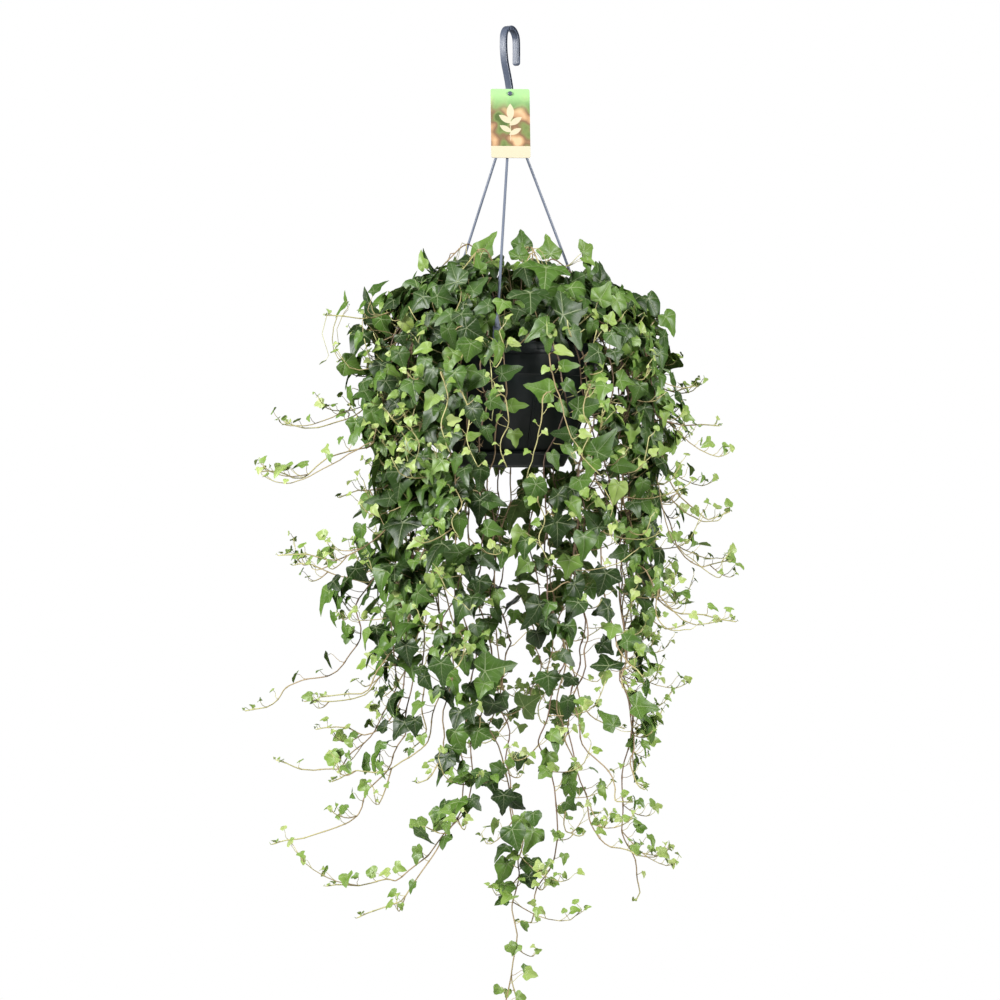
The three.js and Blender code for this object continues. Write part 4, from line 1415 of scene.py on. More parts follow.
def grow_leaf(growth, leaf, youth, draw):
    """A petiole and its blade"""
    stretch = lerp(*STRETCH, draw())
    leaf.stretch = leaf.stretch or stretch
    plan = PLANS[leaf.width > FINE_WIDTH]
    size = clamp(leaf.width / 40, 0.65, 1)
    tint = draw()
    path = petiole_path(leaf, 4 if leaf.width < SMALL_WIDTH else 6)
    radii = np.linspace(*PETIOLE_RADII, len(path)) * size
    growth.add_stalk(path, radii, 3, clamp(0.7 + 0.25 * youth + 0.4 * (tint - 0.5)), tint)
    growth.widths.append(leaf.width)
    points, veins = make_blade(leaf, plan, draw)
    growth.add(points, plan["triangles"], plan["skins"], youth, tint, veins)


print(f"a petiole bends through {len(petiole_path(leaf_lists[0][0], 6))} points")

# %% [markdown]
# ## Leaves turn their own way
# A solid can only carry leaves that keep clear of each other. On the real plant they crowd, tilt and
# overlap. So each leaf of the frame is turned a little further by chance, and smaller leaves fill the nodes
# between. Over the rim the petioles are long: there the leaves stand up on them and close to a dome, with
# some raised above it, tips up, against the light. A few openings, given in pixels of the photograph, stay
# free of leaves.

# %% Crowding leaves
TURN = 1.3
STANDING = 0.4
LIGHTWARD = np.array([0, -0.25, 0])
SIZE_RANGE = (0.56, 0.96)
YOUNG_SIZE = 1.25
YOUNG_SKIPPED = 0.5
BETWEEN_SIZE = (0.42, 0.82)
CROWDED_HEIGHT = -700
LOW_SIZE = 0.83
LOW_FADE = 150
OPENINGS = [
    (505, 484, 16, 15), (499, 573, 10, 8), (504, 632, 9, 18), (520, 677, 13, 13), (585, 645, 9, 38),
    (588, 735, 12, 40), (439, 710, 9, 12),
]


def stray_vector(draw):
    """A small vector in a random direction"""
    return np.array([draw(), draw(), draw()]) - 0.5


def square_to(facing, direction):
    """The part of a direction that lies in the blade's plane"""
    return unit(direction - facing * direction.dot(facing))


def turn_leaf(leaf, draw):
    """Turns a leaf of the frame a little further and gives it its own size; young ones stand tip up"""
    young = 1 - clamp(leaf.grown / STANDING)
    leaf.facing = unit(leaf.facing + TURN * stray_vector(draw) + 0.3 * draw() * UP + LIGHTWARD)
    tip = lerp(leaf.tip, 0.5 * leaf.heading + UP, young)
    leaf.tip = square_to(leaf.facing, tip + 0.6 * stray_vector(draw))
    low = clamp((CROWDED_HEIGHT - leaf.root[2]) / LOW_FADE)
    leaf.width *= lerp(lerp(*SIZE_RANGE, draw()), YOUNG_SIZE, young) * lerp(1, LOW_SIZE, low)
    leaf.junction = leaf.junction + young * (0.3 * (leaf.junction - leaf.root) + 2 * UP)


def leaf_between(course, before, after, draw):
    """A smaller leaf at a node between two leaves of the frame"""
    root = stem_point(course, lerp(before.place, after.place, 0.3 + 0.4 * draw()))
    outward = away_from_axis(root)
    width = before.width * lerp(*BETWEEN_SIZE, draw()) + 3
    sideways = np.cross(UP, outward)
    around = unit(outward * (0.9 * draw() + 0.1) + sideways * 1.8 * (draw() - 0.5) + UP * draw() * 0.5)
    facing = unit(outward * 0.7 + UP * (0.2 + 0.6 * draw()) + TURN * stray_vector(draw) + LIGHTWARD)
    grown = before.grown * (0.5 + 0.5 * draw())
    junction = root + around * (width * (0.4 + 0.9 * draw() ** 2) + 6)
    tip = square_to(facing, outward * 0.3 - UP + 1.2 * stray_vector(draw))
    return Leaf(root, junction, facing, tip, outward, before.heading, width, draw(), grown)


def count_between(leaf):
    """How many smaller leaves follow a leaf of the frame"""
    if leaf.grown < 0.7:
        return 0
    return 3 if leaf.root[2] > CROWDED_HEIGHT else 2


def in_opening(point, room):
    """Whether a point, with some room round it, lies in an opening that the curtain shows from the front"""
    return any(
        ((point[0] - (x - AXIS_PIXEL) * PIXEL) / (half_width * PIXEL + room)) ** 2
        + ((point[2] - (HOOK_PIXEL - y) * PIXEL) / (half_height * PIXEL + room)) ** 2 < 1
        for x, y, half_width, half_height in OPENINGS
    )


def blade_centre(leaf, share=0.25):
    """A point on the midrib, a share of the width from the junction"""
    return leaf.junction + share * leaf.width * leaf.tip


print("leaves of the frame are drawn at", SIZE_RANGE, "of their width")

# %% Leaves of the crown
CROWN_LEAVES = 11
CROWN_WIDTH = (22, 60)
CROWN_PETIOLE = (24, 72)
CROWN_YOUTH = {True: 0.4, False: 0.12}
SMALL_CROWN_LEAF = 32
DOME = {"top": -314, "fall": 86, "radius": 190, "aside": 12}
UPRIGHT_CHANCE = 0.2
UPRIGHT_RISE = 26


def dome_height(point):
    """How high the dome of leaves rises over a point; it sits a little to the left of the pot's axis"""
    radius = math.hypot(point[0] + DOME["aside"], point[1])
    return DOME["top"] - DOME["fall"] * (radius / DOME["radius"]) ** 2


def crown_leaf(course, draw):
    """A leaf on a long petiole over the rim or over the soil"""
    root = stem_point(course, lerp(1.0, min(4.7, len(course) - 1.3), draw()))
    outward = away_from_axis(root)
    upright = draw() < UPRIGHT_CHANCE
    reach = unit(UP * (0.6 + 0.6 * draw()) + outward * 0.6 * draw() + 1.3 * stray_vector(draw))
    width = lerp(*CROWN_WIDTH, draw() ** 1.4)
    junction = root + reach * lerp(*CROWN_PETIOLE, draw())
    roof = dome_height(junction) + (UPRIGHT_RISE * draw() if upright else 0)
    junction[2] = min(junction[2], roof)
    if upright:
        facing = unit(outward * 0.6 - UP * 0.1 + 1.4 * stray_vector(draw) + 2 * LIGHTWARD)
        tip = square_to(facing, UP + 0.9 * stray_vector(draw))
    else:
        facing = unit(UP * 0.8 + outward * 0.5 + 1.2 * stray_vector(draw))
        tip = square_to(facing, outward * 0.8 - UP * 0.5 + 1.3 * stray_vector(draw))
    grown = lerp(0.45, 1, draw())
    return Leaf(root, junction, facing, tip, unit(reach + 0.3 * UP), UP, width, draw(), grown)


print(f"the dome of leaves rises to {DOME['top'] + UPRIGHT_RISE} mm")

# %% [markdown]
# ## Leaves that give the plant its face
# A plant is recognised by its most visible leaves: the big star beside the right rod, the pale leaves that
# stand above the dome, those that hang before the pot. They are listed one by one, each by where its petiole
# joins, where its tip is and its breadth, all in pixels, then its youth and how deeply it is lobed, both in
# per cent. They lie on the outside of the foliage and grow from the nearest stem. Leaves by chance that
# would hide one of them are left off.

# %% Leaves listed one by one
SET_LEAVES = [
    (481, 254, 496, 229, 24, 38, 70), (424, 266, 417, 250, 15, 60, 90), (374, 291, 387, 277, 17, 25, 80),
    (381, 319, 387, 341, 30, 12, 80), (423, 297, 407, 311, 25, 12, 100), (437, 296, 459, 301, 24, 15, 90),
    (404, 322, 422, 335, 15, 80, 30), (400, 336, 405, 347, 15, 10, 80), (428, 348, 412, 351, 14, 65, 50),
    (399, 353, 405, 372, 21, 20, 50), (388, 369, 401, 376, 12, 70, 40), (345, 363, 366, 373, 25, 20, 50),
    (349, 391, 350, 412, 25, 30, 80), (448, 329, 457, 356, 17, 5, 50), (488, 305, 469, 313, 16, 5, 10),
    (450, 314, 433, 325, 15, 10, 30), (473, 291, 491, 272, 15, 12, 70), (503, 302, 498, 312, 20, 35, 80),
    (499, 333, 505, 359, 11, 45, 40), (483, 377, 461, 392, 18, 5, 20), (502, 374, 527, 364, 17, 25, 30),
    (449, 363, 447, 377, 11, 35, 40), (519, 257, 522, 241, 22, 25, 60), (550, 254, 549, 232, 28, 30, 90),
    (584, 252, 596, 243, 26, 40, 80), (586, 262, 592, 275, 15, 40, 50), (600, 299, 612, 281, 25, 35, 70),
    (584, 258, 597, 264, 16, 50, 60), (546, 268, 546, 284, 46, 12, 100), (530, 293, 531, 309, 42, 12, 100),
    (563, 315, 590, 305, 45, 8, 90), (609, 321, 614, 311, 15, 80, 90), (617, 300, 629, 326, 21, 50, 40),
    (617, 294, 605, 312, 18, 30, 60), (642, 331, 642, 320, 10, 80, 10), (664, 336, 671, 361, 18, 25, 60),
    (546, 325, 516, 344, 20, 15, 50), (552, 334, 547, 321, 11, 75, 10), (558, 351, 575, 354, 13, 85, 20),
    (572, 331, 583, 350, 17, 12, 40), (593, 323, 588, 344, 13, 10, 30), (547, 334, 549, 357, 15, 25, 40),
    (598, 352, 585, 359, 24, 5, 90), (614, 352, 619, 364, 21, 8, 90), (620, 380, 636, 381, 24, 25, 100),
    (640, 386, 634, 405, 22, 20, 70), (563, 366, 589, 364, 13, 45, 40), (549, 392, 524, 384, 25, 18, 60),
    (578, 409, 607, 401, 24, 18, 30), (687, 391, 683, 377, 8, 70, 30), (673, 377, 679, 398, 20, 15, 70),
    (352, 441, 360, 419, 12, 45, 40), (433, 411, 420, 430, 17, 12, 30), (440, 411, 454, 436, 17, 12, 30),
    (450, 421, 462, 419, 12, 85, 80), (469, 437, 485, 432, 10, 65, 30), (392, 444, 391, 456, 13, 70, 60),
    (442, 461, 429, 473, 24, 40, 100), (457, 457, 452, 477, 13, 40, 40), (481, 469, 478, 492, 18, 8, 50),
    (390, 498, 352, 499, 19, 8, 70), (487, 500, 508, 503, 20, 10, 50), (480, 500, 478, 526, 24, 5, 60),
    (459, 518, 460, 541, 17, 8, 40), (487, 528, 506, 533, 19, 12, 40), (482, 556, 501, 570, 18, 12, 60),
    (403, 523, 396, 544, 42, 3, 90), (420, 541, 405, 547, 12, 85, 50), (514, 433, 516, 448, 15, 60, 100),
    (511, 406, 529, 405, 14, 60, 90), (572, 434, 548, 433, 17, 18, 20), (581, 419, 597, 424, 9, 75, 30),
    (597, 452, 618, 429, 24, 18, 30), (631, 428, 631, 445, 18, 50, 80), (636, 449, 649, 455, 13, 30, 40),
    (592, 462, 588, 479, 19, 50, 80), (617, 465, 648, 468, 19, 35, 40), (618, 485, 614, 506, 22, 80, 20),
    (643, 482, 640, 500, 18, 30, 60), (598, 527, 583, 507, 20, 18, 40), (557, 522, 559, 548, 36, 3, 100),
    (645, 520, 650, 543, 11, 18, 30), (625, 552, 608, 556, 20, 15, 50), (632, 531, 628, 545, 16, 60, 60),
    (570, 560, 567, 580, 25, 40, 90), (528, 563, 514, 575, 20, 40, 70), (606, 573, 600, 598, 32, 2, 100),
    (485, 671, 517, 663, 36, 5, 100), (524, 707, 539, 697, 34, 3, 60), (548, 676, 550, 697, 26, 2, 70),
    (441, 663, 442, 689, 24, 8, 100), (406, 645, 408, 668, 26, 8, 60), (563, 654, 576, 666, 14, 5, 0),
    (568, 700, 568, 724, 17, 20, 0), (415, 720, 414, 738, 20, 5, 20), (495, 610, 505, 630, 12, 5, 20),
    (430, 576, 430, 589, 12, 80, 30), (478, 731, 473, 750, 26, 3, 90), (608, 608, 591, 613, 25, 4, 100),
    (627, 641, 652, 648, 19, 5, 50), (638, 650, 646, 645, 15, 75, 60), (609, 666, 603, 651, 33, 12, 100),
    (605, 673, 604, 686, 14, 85, 90), (636, 706, 661, 706, 28, 30, 100), (613, 725, 599, 709, 20, 25, 70),
    (566, 384, 578, 396, 15, 30, 60), (560, 404, 571, 416, 13, 20, 50), (552, 455, 560, 470, 14, 30, 60),
    (566, 446, 577, 458, 13, 25, 40), (446, 385, 436, 398, 14, 25, 50), (455, 400, 447, 415, 14, 20, 50),
    (433, 370, 424, 384, 14, 20, 50), (345, 304, 333, 317, 14, 30, 70), (346, 300, 343, 290, 8, 50, 30),
    (360, 335, 354, 349, 14, 40, 30), (364, 303, 356, 312, 10, 40, 50),
]
FORESHORTENING = 1.14
SET_CURL = 0.4
SURFACE = {"hanging": 158, "low": 130, "low_height": -860}
NEAR_SIDE = -120
CROWN_FOOT = -395
HIDING = {"beside": 0.36, "behind": 12}


def surface_radius(z):
    """How far from the axis the foliage's outside lies at a height"""
    if z > DOME["top"] - DOME["fall"] * 0.7:
        return DOME["radius"] * math.sqrt(max(0, DOME["top"] - z) / DOME["fall"])
    return SURFACE["hanging"] if z > SURFACE["low_height"] else SURFACE["low"]


def behind_pixel(x_pixel, y_pixel, depth):
    """The point that a pixel of the photograph shows, at a depth behind the pot's axis"""
    middle = FRAME_PIXELS / 2
    scale = PIXEL * (1 + depth * MM / CAMERA_DISTANCE)
    x, z = camera.location.x / MM, camera.location.z / MM
    return np.array([x + (x_pixel - middle) * scale, depth, z + (middle - y_pixel) * scale])


def on_surface(x_pixel, y_pixel):
    """A pixel of the photograph as a point on the outside of the foliage"""
    x, _, z = behind_pixel(x_pixel, y_pixel, NEAR_SIDE)
    return behind_pixel(x_pixel, y_pixel, -math.sqrt(max(0, surface_radius(z) ** 2 - x * x)))


stem_samples = [
    (index, stem_point(course, place))
    for index, course in enumerate(courses) for place in np.arange(1, len(course) - 1, 0.12)
]
sample_points = np.array([point for _, point in stem_samples])


def in_front(x_pixel, y_pixel, before=16):
    """A pixel as a point a little before the foremost stem near it, or on the dome's surface"""
    point = on_surface(x_pixel, y_pixel)
    if point[2] > CROWN_FOOT:
        return point
    away = np.hypot(*(sample_points - point)[:, [0, 2]].T)
    near = sample_points[away < max(28, away.min() + 1)]
    return behind_pixel(x_pixel, y_pixel, near[:, 1].min() - before)


def nearest_stem(point):
    """The vine nearest to a point, and the nearest point on its stem"""
    return stem_samples[int(np.linalg.norm(sample_points - point, axis=1).argmin())]


def set_leaf(row):
    """One of the listed leaves, with the vine that carries it"""
    x, y, tip_x, tip_y, breadth = row[:5]
    youth, lobing = row[5] / 100, row[6] / 100
    junction = in_front(x, y)
    width = FORESHORTENING * breadth * PIXEL
    across, rise = (tip_x - x) * PIXEL, (y - tip_y) * PIXEL
    seen, length = math.hypot(across, rise), lerp(0.62, 0.78, lobing) * width
    stretch = clamp(seen / length, 0.75, 1.7)
    lean = math.sqrt(max(0, (length * stretch) ** 2 - seen ** 2))
    tip = unit(np.array([across, lean if rise > 0 else -lean, rise]))
    outward = unit(junction * [0.6, 1, 0] + [0, -70, 0])
    wish = outward * 0.9 + UP * (0.1 if rise > 0 else 0.45)
    index, root = nearest_stem(junction - tip * 14)
    facing = square_to(tip, wish)
    return index, Leaf(
        root, junction, facing, tip, outward, -UP, width, lobing, 1 - youth, stretch=stretch, curl=SET_CURL,
    )


set_leaves = [set_leaf(row) for row in SET_LEAVES]
set_centres = np.array([blade_centre(leaf, 0.3) for _, leaf in set_leaves])
set_widths = np.array([leaf.width for _, leaf in set_leaves])


def hides_set_leaf(leaf):
    """Whether a leaf by chance would lie in front of a listed one, or of the front rod"""
    centre = blade_centre(leaf)
    gap = centre - set_centres
    near = np.hypot(gap[:, 0], gap[:, 2]) < HIDING["beside"] * (set_widths + leaf.width)
    top, foot, _ = rod_line(ROD_ANGLES["rod_front"])
    aside = centre - lerp(top, foot, (top[2] - centre[2]) / (top[2] - foot[2]))
    on_rod = centre[2] > foot[2] - 25 and abs(aside[0]) < 0.4 * leaf.width + 3 and aside[1] < 0
    return bool((near & (gap[:, 1] < HIDING["behind"])).any() or on_rod)


longest = max(np.linalg.norm(leaf.junction - leaf.root) for _, leaf in set_leaves)
print(f"{len(set_leaves)} leaves set by hand, on {len({index for index, _ in set_leaves})} vines")
print("longest petiole", round(longest), "mm")

# %% [markdown]
# ## Side shoots and rootlets
# Much of this ivy is new growth: short side shoots at many nodes, with tiny pale leaves held up on curved
# petioles. They start in a leaf's axil, reach out and turn up at the end. Older stems near the pot also
# carry tufts of dry brown rootlets, left from when they clung to something.

# %% Side shoots
SHOOT_CHANCE = 0.34
SHOOT_LENGTH = (20, 115)
SHOOT_LEAF = (22, 10)
SHOOT_SPACING = 18
SHOOT_SIDES = 4
SHOOT_RADII = (0.95, 0.6)
SOFT_SHARE = 0.03
SOFT_MARGIN = 4
cad_box = np.array([cad_low, cad_high]) / MM
room_outside = SOFT_SHARE * (cad_box[1] - cad_box[0]) + SOFT_MARGIN


def within_reach(point, room):
    """Whether a point keeps some room inside the space that the plant may fill, a little past the frame"""
    least, most = cad_box[0] - room_outside + room, cad_box[1] + room_outside - room
    return bool((least < point).all() and (point < most).all())


def shoot_knots(root, reach, length, rise):
    """A shoot that sags a little, reaches out and turns up at its end"""
    return np.array([
        root, root + reach * length * 0.4 - UP * length * 0.07,
        root + reach * length * 0.8, root + reach * length + UP * length * rise,
    ])


def clothe_shoot(growth, knots, count, sizes, outward, side, draw):
    """Stands small leaves along a shoot, to either side in turn"""
    last = len(knots) - 1
    sideways = np.cross(UP, outward)
    for i in range(count):
        share = (i + 0.7) / (count - 0.3)
        at = last * share
        side = -side
        place = through(knots, at)
        heading = unit(through(knots, min(last, at + 0.2)) - through(knots, at - 0.2))
        width = lerp(*sizes, share) * (0.6 + 0.7 * draw())
        facing = unit(outward * 0.5 + UP * 0.6 + 1.2 * stray_vector(draw) + LIGHTWARD)
        hang = heading * 0.6 + outward * 0.3 + sideways * side * 0.8 + UP * (1.2 * draw() - 0.5)
        stalk = unit(UP * 0.7 + sideways * side * (0.3 + 0.6 * draw()) + outward * 0.5 + heading * 0.2)
        junction = place + stalk * width * (0.7 + 0.9 * draw())
        tip = square_to(facing, hang)
        grown = 0.5 * (1 - share)
        small = Leaf(place, junction, facing, tip, outward, heading, width, 0.7 * draw(), grown)
        if not hides_set_leaf(small):
            grow_leaf(growth, small, clamp(0.6 + 0.36 * share + 0.3 * (draw() - 0.5)), draw)


def grow_shoot_stalk(growth, path, youth, draw):
    """The bark of a shoot, youngest at its end"""
    radii, ages = np.linspace(*SHOOT_RADII, len(path)), np.linspace(youth, 1, len(path))
    growth.add_stalk(path, radii, SHOOT_SIDES, ages, draw())


def leaves_on_shoot(length):
    return 2 + int(length / SHOOT_SPACING)


def grow_shoot(growth, root, leaf, draw):
    """A side shoot with its small leaves, shortened until it ends under the dome and near the frame"""
    length = lerp(*SHOOT_LENGTH, draw() ** 1.5)
    outward, side = leaf.outward, -leaf.side
    sideways = np.cross(UP, outward)
    reach = unit(outward * (0.35 + 0.8 * draw()) + sideways * side * 1.1 * draw() + UP * (draw() - 0.65))
    rise = 0.05 + 0.35 * draw()
    knots = shoot_knots(root, reach, length, rise)
    while length > 5 and not (within_reach(knots[-1], 8) and knots[-1][2] <= dome_height(knots[-1]) + 8):
        length *= 0.7
        knots = shoot_knots(root, reach, length, rise)
    grow_shoot_stalk(growth, curve_through(knots, 8), 0.5, draw)
    clothe_shoot(growth, knots, leaves_on_shoot(length), SHOOT_LEAF, outward, side, draw)


print(f"a side shoot of {SHOOT_LENGTH[1]} mm carries {leaves_on_shoot(SHOOT_LENGTH[1])} leaves")

# %% Shoots listed one by one
SET_SHOOT = {"before": 26, "step": 3, "crooked": 2, "scale": 14}
SET_SHOOTS = [
    (3, 14, 0.8, [(488, 340), (491, 372), (494, 398), (492, 420)]),
    (0, 10, 0.9, [(490, 338), (499, 347), (502, 358), (496, 368), (489, 358)]),
    (6, 18, 0.3, [(549, 356), (556, 385), (562, 405), (566, 425), (575, 442), (584, 458), (600, 475)]),
    (6, 14, 0.6, [(545, 395), (541, 420), (537, 440), (527, 478)]),
    (8, 15, 0.8, [(462, 392), (470, 418), (466, 440), (478, 466)]),
    (7, 15, 0.7, [(441, 372), (448, 398), (441, 425), (449, 452)]),
    (7, 15, 0.7, [(503, 395), (509, 420), (500, 445), (507, 468)]),
    (7, 17, 0.6, [(590, 385), (583, 408), (590, 432), (580, 455)]),
    (6, 15, 0.8, [(418, 398), (411, 425), (419, 446), (412, 470)]),
    (4, 12, 0.8, [(408, 442), (407, 456), (410, 470)]),
    (5, 13, 0.6, [(375, 500), (383, 522), (393, 535), (408, 530), (424, 517)]),
    (5, 20, 0.4, [(645, 570), (660, 597), (685, 621), (705, 624), (728, 617)]),
    (4, 17, 0.4, [(660, 580), (656, 611), (668, 629), (690, 630)]),
    (6, 22, 0.3, [(653, 455), (658, 485), (670, 535), (681, 550), (718, 578), (722, 562)]),
    (3, 16, 0.5, [(679, 546), (700, 556), (722, 559)]),
    (3, 18, 0.5, [(672, 500), (692, 516), (705, 522), (718, 520), (725, 512)]),
    (5, 18, 0.5, [(345, 412), (315, 424), (285, 425), (278, 418)]),
    (6, 20, 0.4, [(372, 442), (335, 462), (300, 480), (278, 482), (262, 475)]),
    (5, 14, 0.8, [(398, 452), (407, 470), (409, 490)]),
    (6, 14, 0.7, [(432, 560), (441, 578), (447, 592), (462, 603), (470, 610)]),
    (5, 15, 0.7, [(455, 490), (462, 505), (452, 520), (458, 538)]),
    (6, 15, 0.7, [(538, 500), (545, 520), (538, 540), (548, 560)]),
    (6, 15, 0.7, [(601, 485), (612, 505), (608, 528), (618, 545)]),
]


def set_shoot(row):
    """The vine that carries a listed shoot, and what grow_set_shoot needs, from its count of leaves,
    their width, its youth at the foot and its knots in pixels"""
    count, size, youth, pixels = row
    depth = in_front(*pixels[0], SET_SHOOT["before"])[1]
    knots = np.array([behind_pixel(*pixel, depth - SET_SHOOT["step"] * i) for i, pixel in enumerate(pixels)])
    index, root = nearest_stem(knots[0])
    return index, np.concatenate([[root], knots]), count, size, youth


def grow_set_shoot(growth, knots, count, size, youth, draw):
    """A listed shoot, slightly crooked, with leaves that shrink to its end"""
    path = curve_through(knots, 5 * (len(knots) - 1))
    path[1:] += [SET_SHOOT["crooked"] * waver(point, SET_SHOOT["scale"]) for point in path[1:]]
    grow_shoot_stalk(growth, path, youth, draw)
    outward = unit(knots[1] * [1, 1, 0] + [0, -60, 0])
    clothe_shoot(growth, path[4:], count, (size, 0.7 * size), outward, 1, draw)


set_shoots = [set_shoot(row) for row in SET_SHOOTS]
print(f"{len(set_shoots)} shoots set by hand")

# %% Growing tip


def grow_tip(growth, course, draw):
    """Three folded leaves at the very end of a stem"""
    last = len(course) - 1
    end = stem_point(course, last)
    heading = unit(end - stem_point(course, last - 0.2))
    outward = away_from_axis(end)
    for back, width in ((0.16, 8.5), (0.08, 6.5), (0.0, 4.5)):
        place = stem_point(course, last - back)
        facing = unit(UP * 0.4 + 1.6 * stray_vector(draw))
        junction = place + unit(heading + UP * 0.8 + stray_vector(draw)) * width * 0.6
        tip = square_to(facing, heading + UP * 0.9)
        young = Leaf(place, junction, facing, tip, outward, heading, width, draw(), grown=0)
        grow_leaf(growth, young, lerp(0.75, 1, draw()), draw)


print("each stem ends in three folded leaves")

# %% Rootlet tufts
ROOTLETS = {"low": -640, "high": -430, "radius": 185, "chance": 0.28, "count": 13}


def carries_rootlets(root):
    return ROOTLETS["low"] < root[2] < ROOTLETS["high"] and np.hypot(*root[:2]) < ROOTLETS["radius"]


def grow_rootlets(growth, root, draw):
    """A tuft of dry, crooked rootlets at a node"""
    for _ in range(ROOTLETS["count"]):
        step = unit(stray_vector(draw))
        path = [root]
        for _ in range(4):
            step = unit(step + 1.5 * stray_vector(draw))
            path.append(path[-1] + step * (1.2 + 2.2 * draw()))
        growth.add_stalk(path, np.linspace(0.4, 0.2, 5), 3, 0.2, 0.8)


print(f"a tuft has {ROOTLETS['count']} rootlets of four short steps")

# %% [markdown]
# ## Leaf and bark finishes
# The upper skin is leathery: dark green with a soft shine in old leaves, bright yellow-green in young ones,
# with pale veins. The vein pattern is drawn from the two vein coordinates. A lobe's own vein is where the
# sideways distance is nearly zero. Side veins are lines at a slant, which repeat along the lobe. The lower
# skin is paler and dull. Some light passes through a blade, so a Translucent shader joins the main one.
# Bark goes from brown where it is old to a pale yellow-green where it is young.

# %% Leaf finishes
LEAF_AGES = [
    (0.0, colour(39, 64, 21)), (0.12, colour(62, 93, 35)), (0.3, colour(89, 124, 46)),
    (0.55, colour(118, 150, 68)), (0.8, colour(147, 174, 88)), (1.0, colour(180, 196, 120)),
]
LEAF_GLOW = colour(154, 182, 56)
GLOW_SHARE = 0.2


def vein_masks(recipe):
    """How much a point lies on its lobe's own vein, and on a side vein"""
    across, along = recipe.flat_places("veins")
    beside = recipe.math("ABSOLUTE", across)
    thin = recipe.plus(recipe.times(along, -0.01), 0.011)
    main = recipe.fade(recipe.minus(beside, thin), 0.005, -0.005)
    slanted = recipe.minus(along, recipe.times(beside, 0.85))
    wander = recipe.times(recipe.minus(recipe.noise(260), 0.5), 0.035)
    cycle = recipe.math("PINGPONG", recipe.plus(slanted, wander), 0.065)
    lines = recipe.fade(cycle, 0.007, 0.002)
    side = recipe.times(lines, recipe.fade(beside, 0.24, 0.05))
    return main, side


def add_glow(recipe, tone):
    """Lets some light through the blade, in a yellower tone"""
    through_leaf = recipe.fill(recipe.add("BsdfTranslucent"), Color=recipe.mix(0.5, tone, LEAF_GLOW))
    both = recipe.fill(recipe.add("MixShader"), Fac=GLOW_SHARE)
    recipe.join(both.inputs[1], recipe.shader.outputs[0])
    recipe.join(both.inputs[2], through_leaf.outputs[0])
    recipe.join(recipe.tree.nodes["Material Output"].inputs["Surface"], both.outputs[0])


def make_upper_finish():
    recipe = Recipe("ivy_leaf_upper")
    youth, tint = recipe.attribute("youth"), recipe.attribute("tint")
    main, side = vein_masks(recipe)
    side = recipe.times(side, recipe.fade(youth, 0.5, 0.25))
    age = recipe.plus(youth, recipe.times(recipe.minus(tint, 0.45), 0.36))
    tone = recipe.ramp(age, LEAF_AGES)
    blotches = recipe.noise(55, detail=5.0)
    tone = recipe.mix(recipe.fade(blotches, 0.45, 0.75), tone, colour(128, 142, 92), blend="SOFT_LIGHT")
    veined = recipe.mix(0.42, tone, colour(206, 218, 166))
    strength = recipe.math("MAXIMUM", main, recipe.times(side, 0.55))
    tone = recipe.mix(recipe.times(strength, 0.85), tone, veined)
    recipe.bump(recipe.times(strength, -1.0), 0.3, 0.8)
    rough = recipe.plus(recipe.times(blotches, 0.2), 0.32)
    add_glow(recipe, tone)
    return recipe.finish(tone, rough)


def make_under_finish():
    recipe = Recipe("ivy_leaf_under")
    youth = recipe.attribute("youth")
    main, side = vein_masks(recipe)
    tone = recipe.mix(0.45, recipe.ramp(youth, LEAF_AGES), colour(116, 144, 68))
    strength = recipe.math("MAXIMUM", main, recipe.times(side, 0.5))
    tone = recipe.mix(recipe.times(strength, 0.6), tone, colour(176, 192, 124))
    recipe.bump(strength, 0.4, 0.8)
    add_glow(recipe, tone)
    return recipe.finish(tone, 0.7)


leaf_upper = make_upper_finish()
leaf_under = make_under_finish()
print("made", leaf_upper.name, "and", leaf_under.name)

# %% Bark finish


def make_bark():
    recipe = Recipe("ivy_bark")
    youth = recipe.attribute("youth")
    grain = recipe.noise(500, stretch=(1, 1, 0.3))
    tone = recipe.ramp(youth, [
        (0.0, colour(88, 66, 54)), (0.3, colour(132, 104, 82)), (0.6, colour(176, 154, 114)),
        (0.85, colour(196, 190, 126)), (1.0, colour(206, 208, 140)),
    ])
    tone = recipe.mix(recipe.times(grain, 0.35), tone, colour(96, 74, 60))
    tone = recipe.mix(recipe.times(recipe.attribute("tint"), 0.45), tone, colour(150, 136, 92))
    recipe.bump(grain, 0.15, 0.6)
    return recipe.finish(tone, 0.55)


ivy_bark = make_bark()
print("made", ivy_bark.name)

# %% [markdown]
# ## Growing all the vines
# Each vine is grown in turn from its own second stream of random draws, so the frame's draws stay
# untouched. A leaf whose blade would cut into the pot is moved straight out to clear the wall, and one that
# would cut through a rod is moved aside, so the rods stay in view down to the dome.

# %% Keep blades clear of pot and rods
POT_CLEARANCE = 3
LONGEST_MOVE = 25
ROD_CLEARANCE = 3


def clear_of_pot(leaf):
    """Moves a leaf out from the pot until its corners clear the collar and wall"""
    across = np.cross(leaf.tip, leaf.facing)
    outline = lerp(ENTIRE, LOBED, leaf.lobing) * leaf.width
    corners = np.concatenate([
        leaf.junction + side * outline[:, :1] * across + outline[:, 1:] * leaf.tip for side in (1, -1)
    ])
    beside_pot = (corners[:, 2] < RIM_Z + 4) & (corners[:, 2] > SAUCER_Z - 4)
    if not beside_pot.any():
        return
    limit = np.where(corners[:, 2] > BAND_Z, RIM_RADIUS, wall_radius_at(corners[:, 2])) + POT_CLEARANCE
    lacking = (limit - np.hypot(corners[:, 0], corners[:, 1]))[beside_pot].max()
    if lacking > 0:
        leaf.junction = leaf.junction + away_from_axis(leaf.junction) * min(lacking, LONGEST_MOVE)


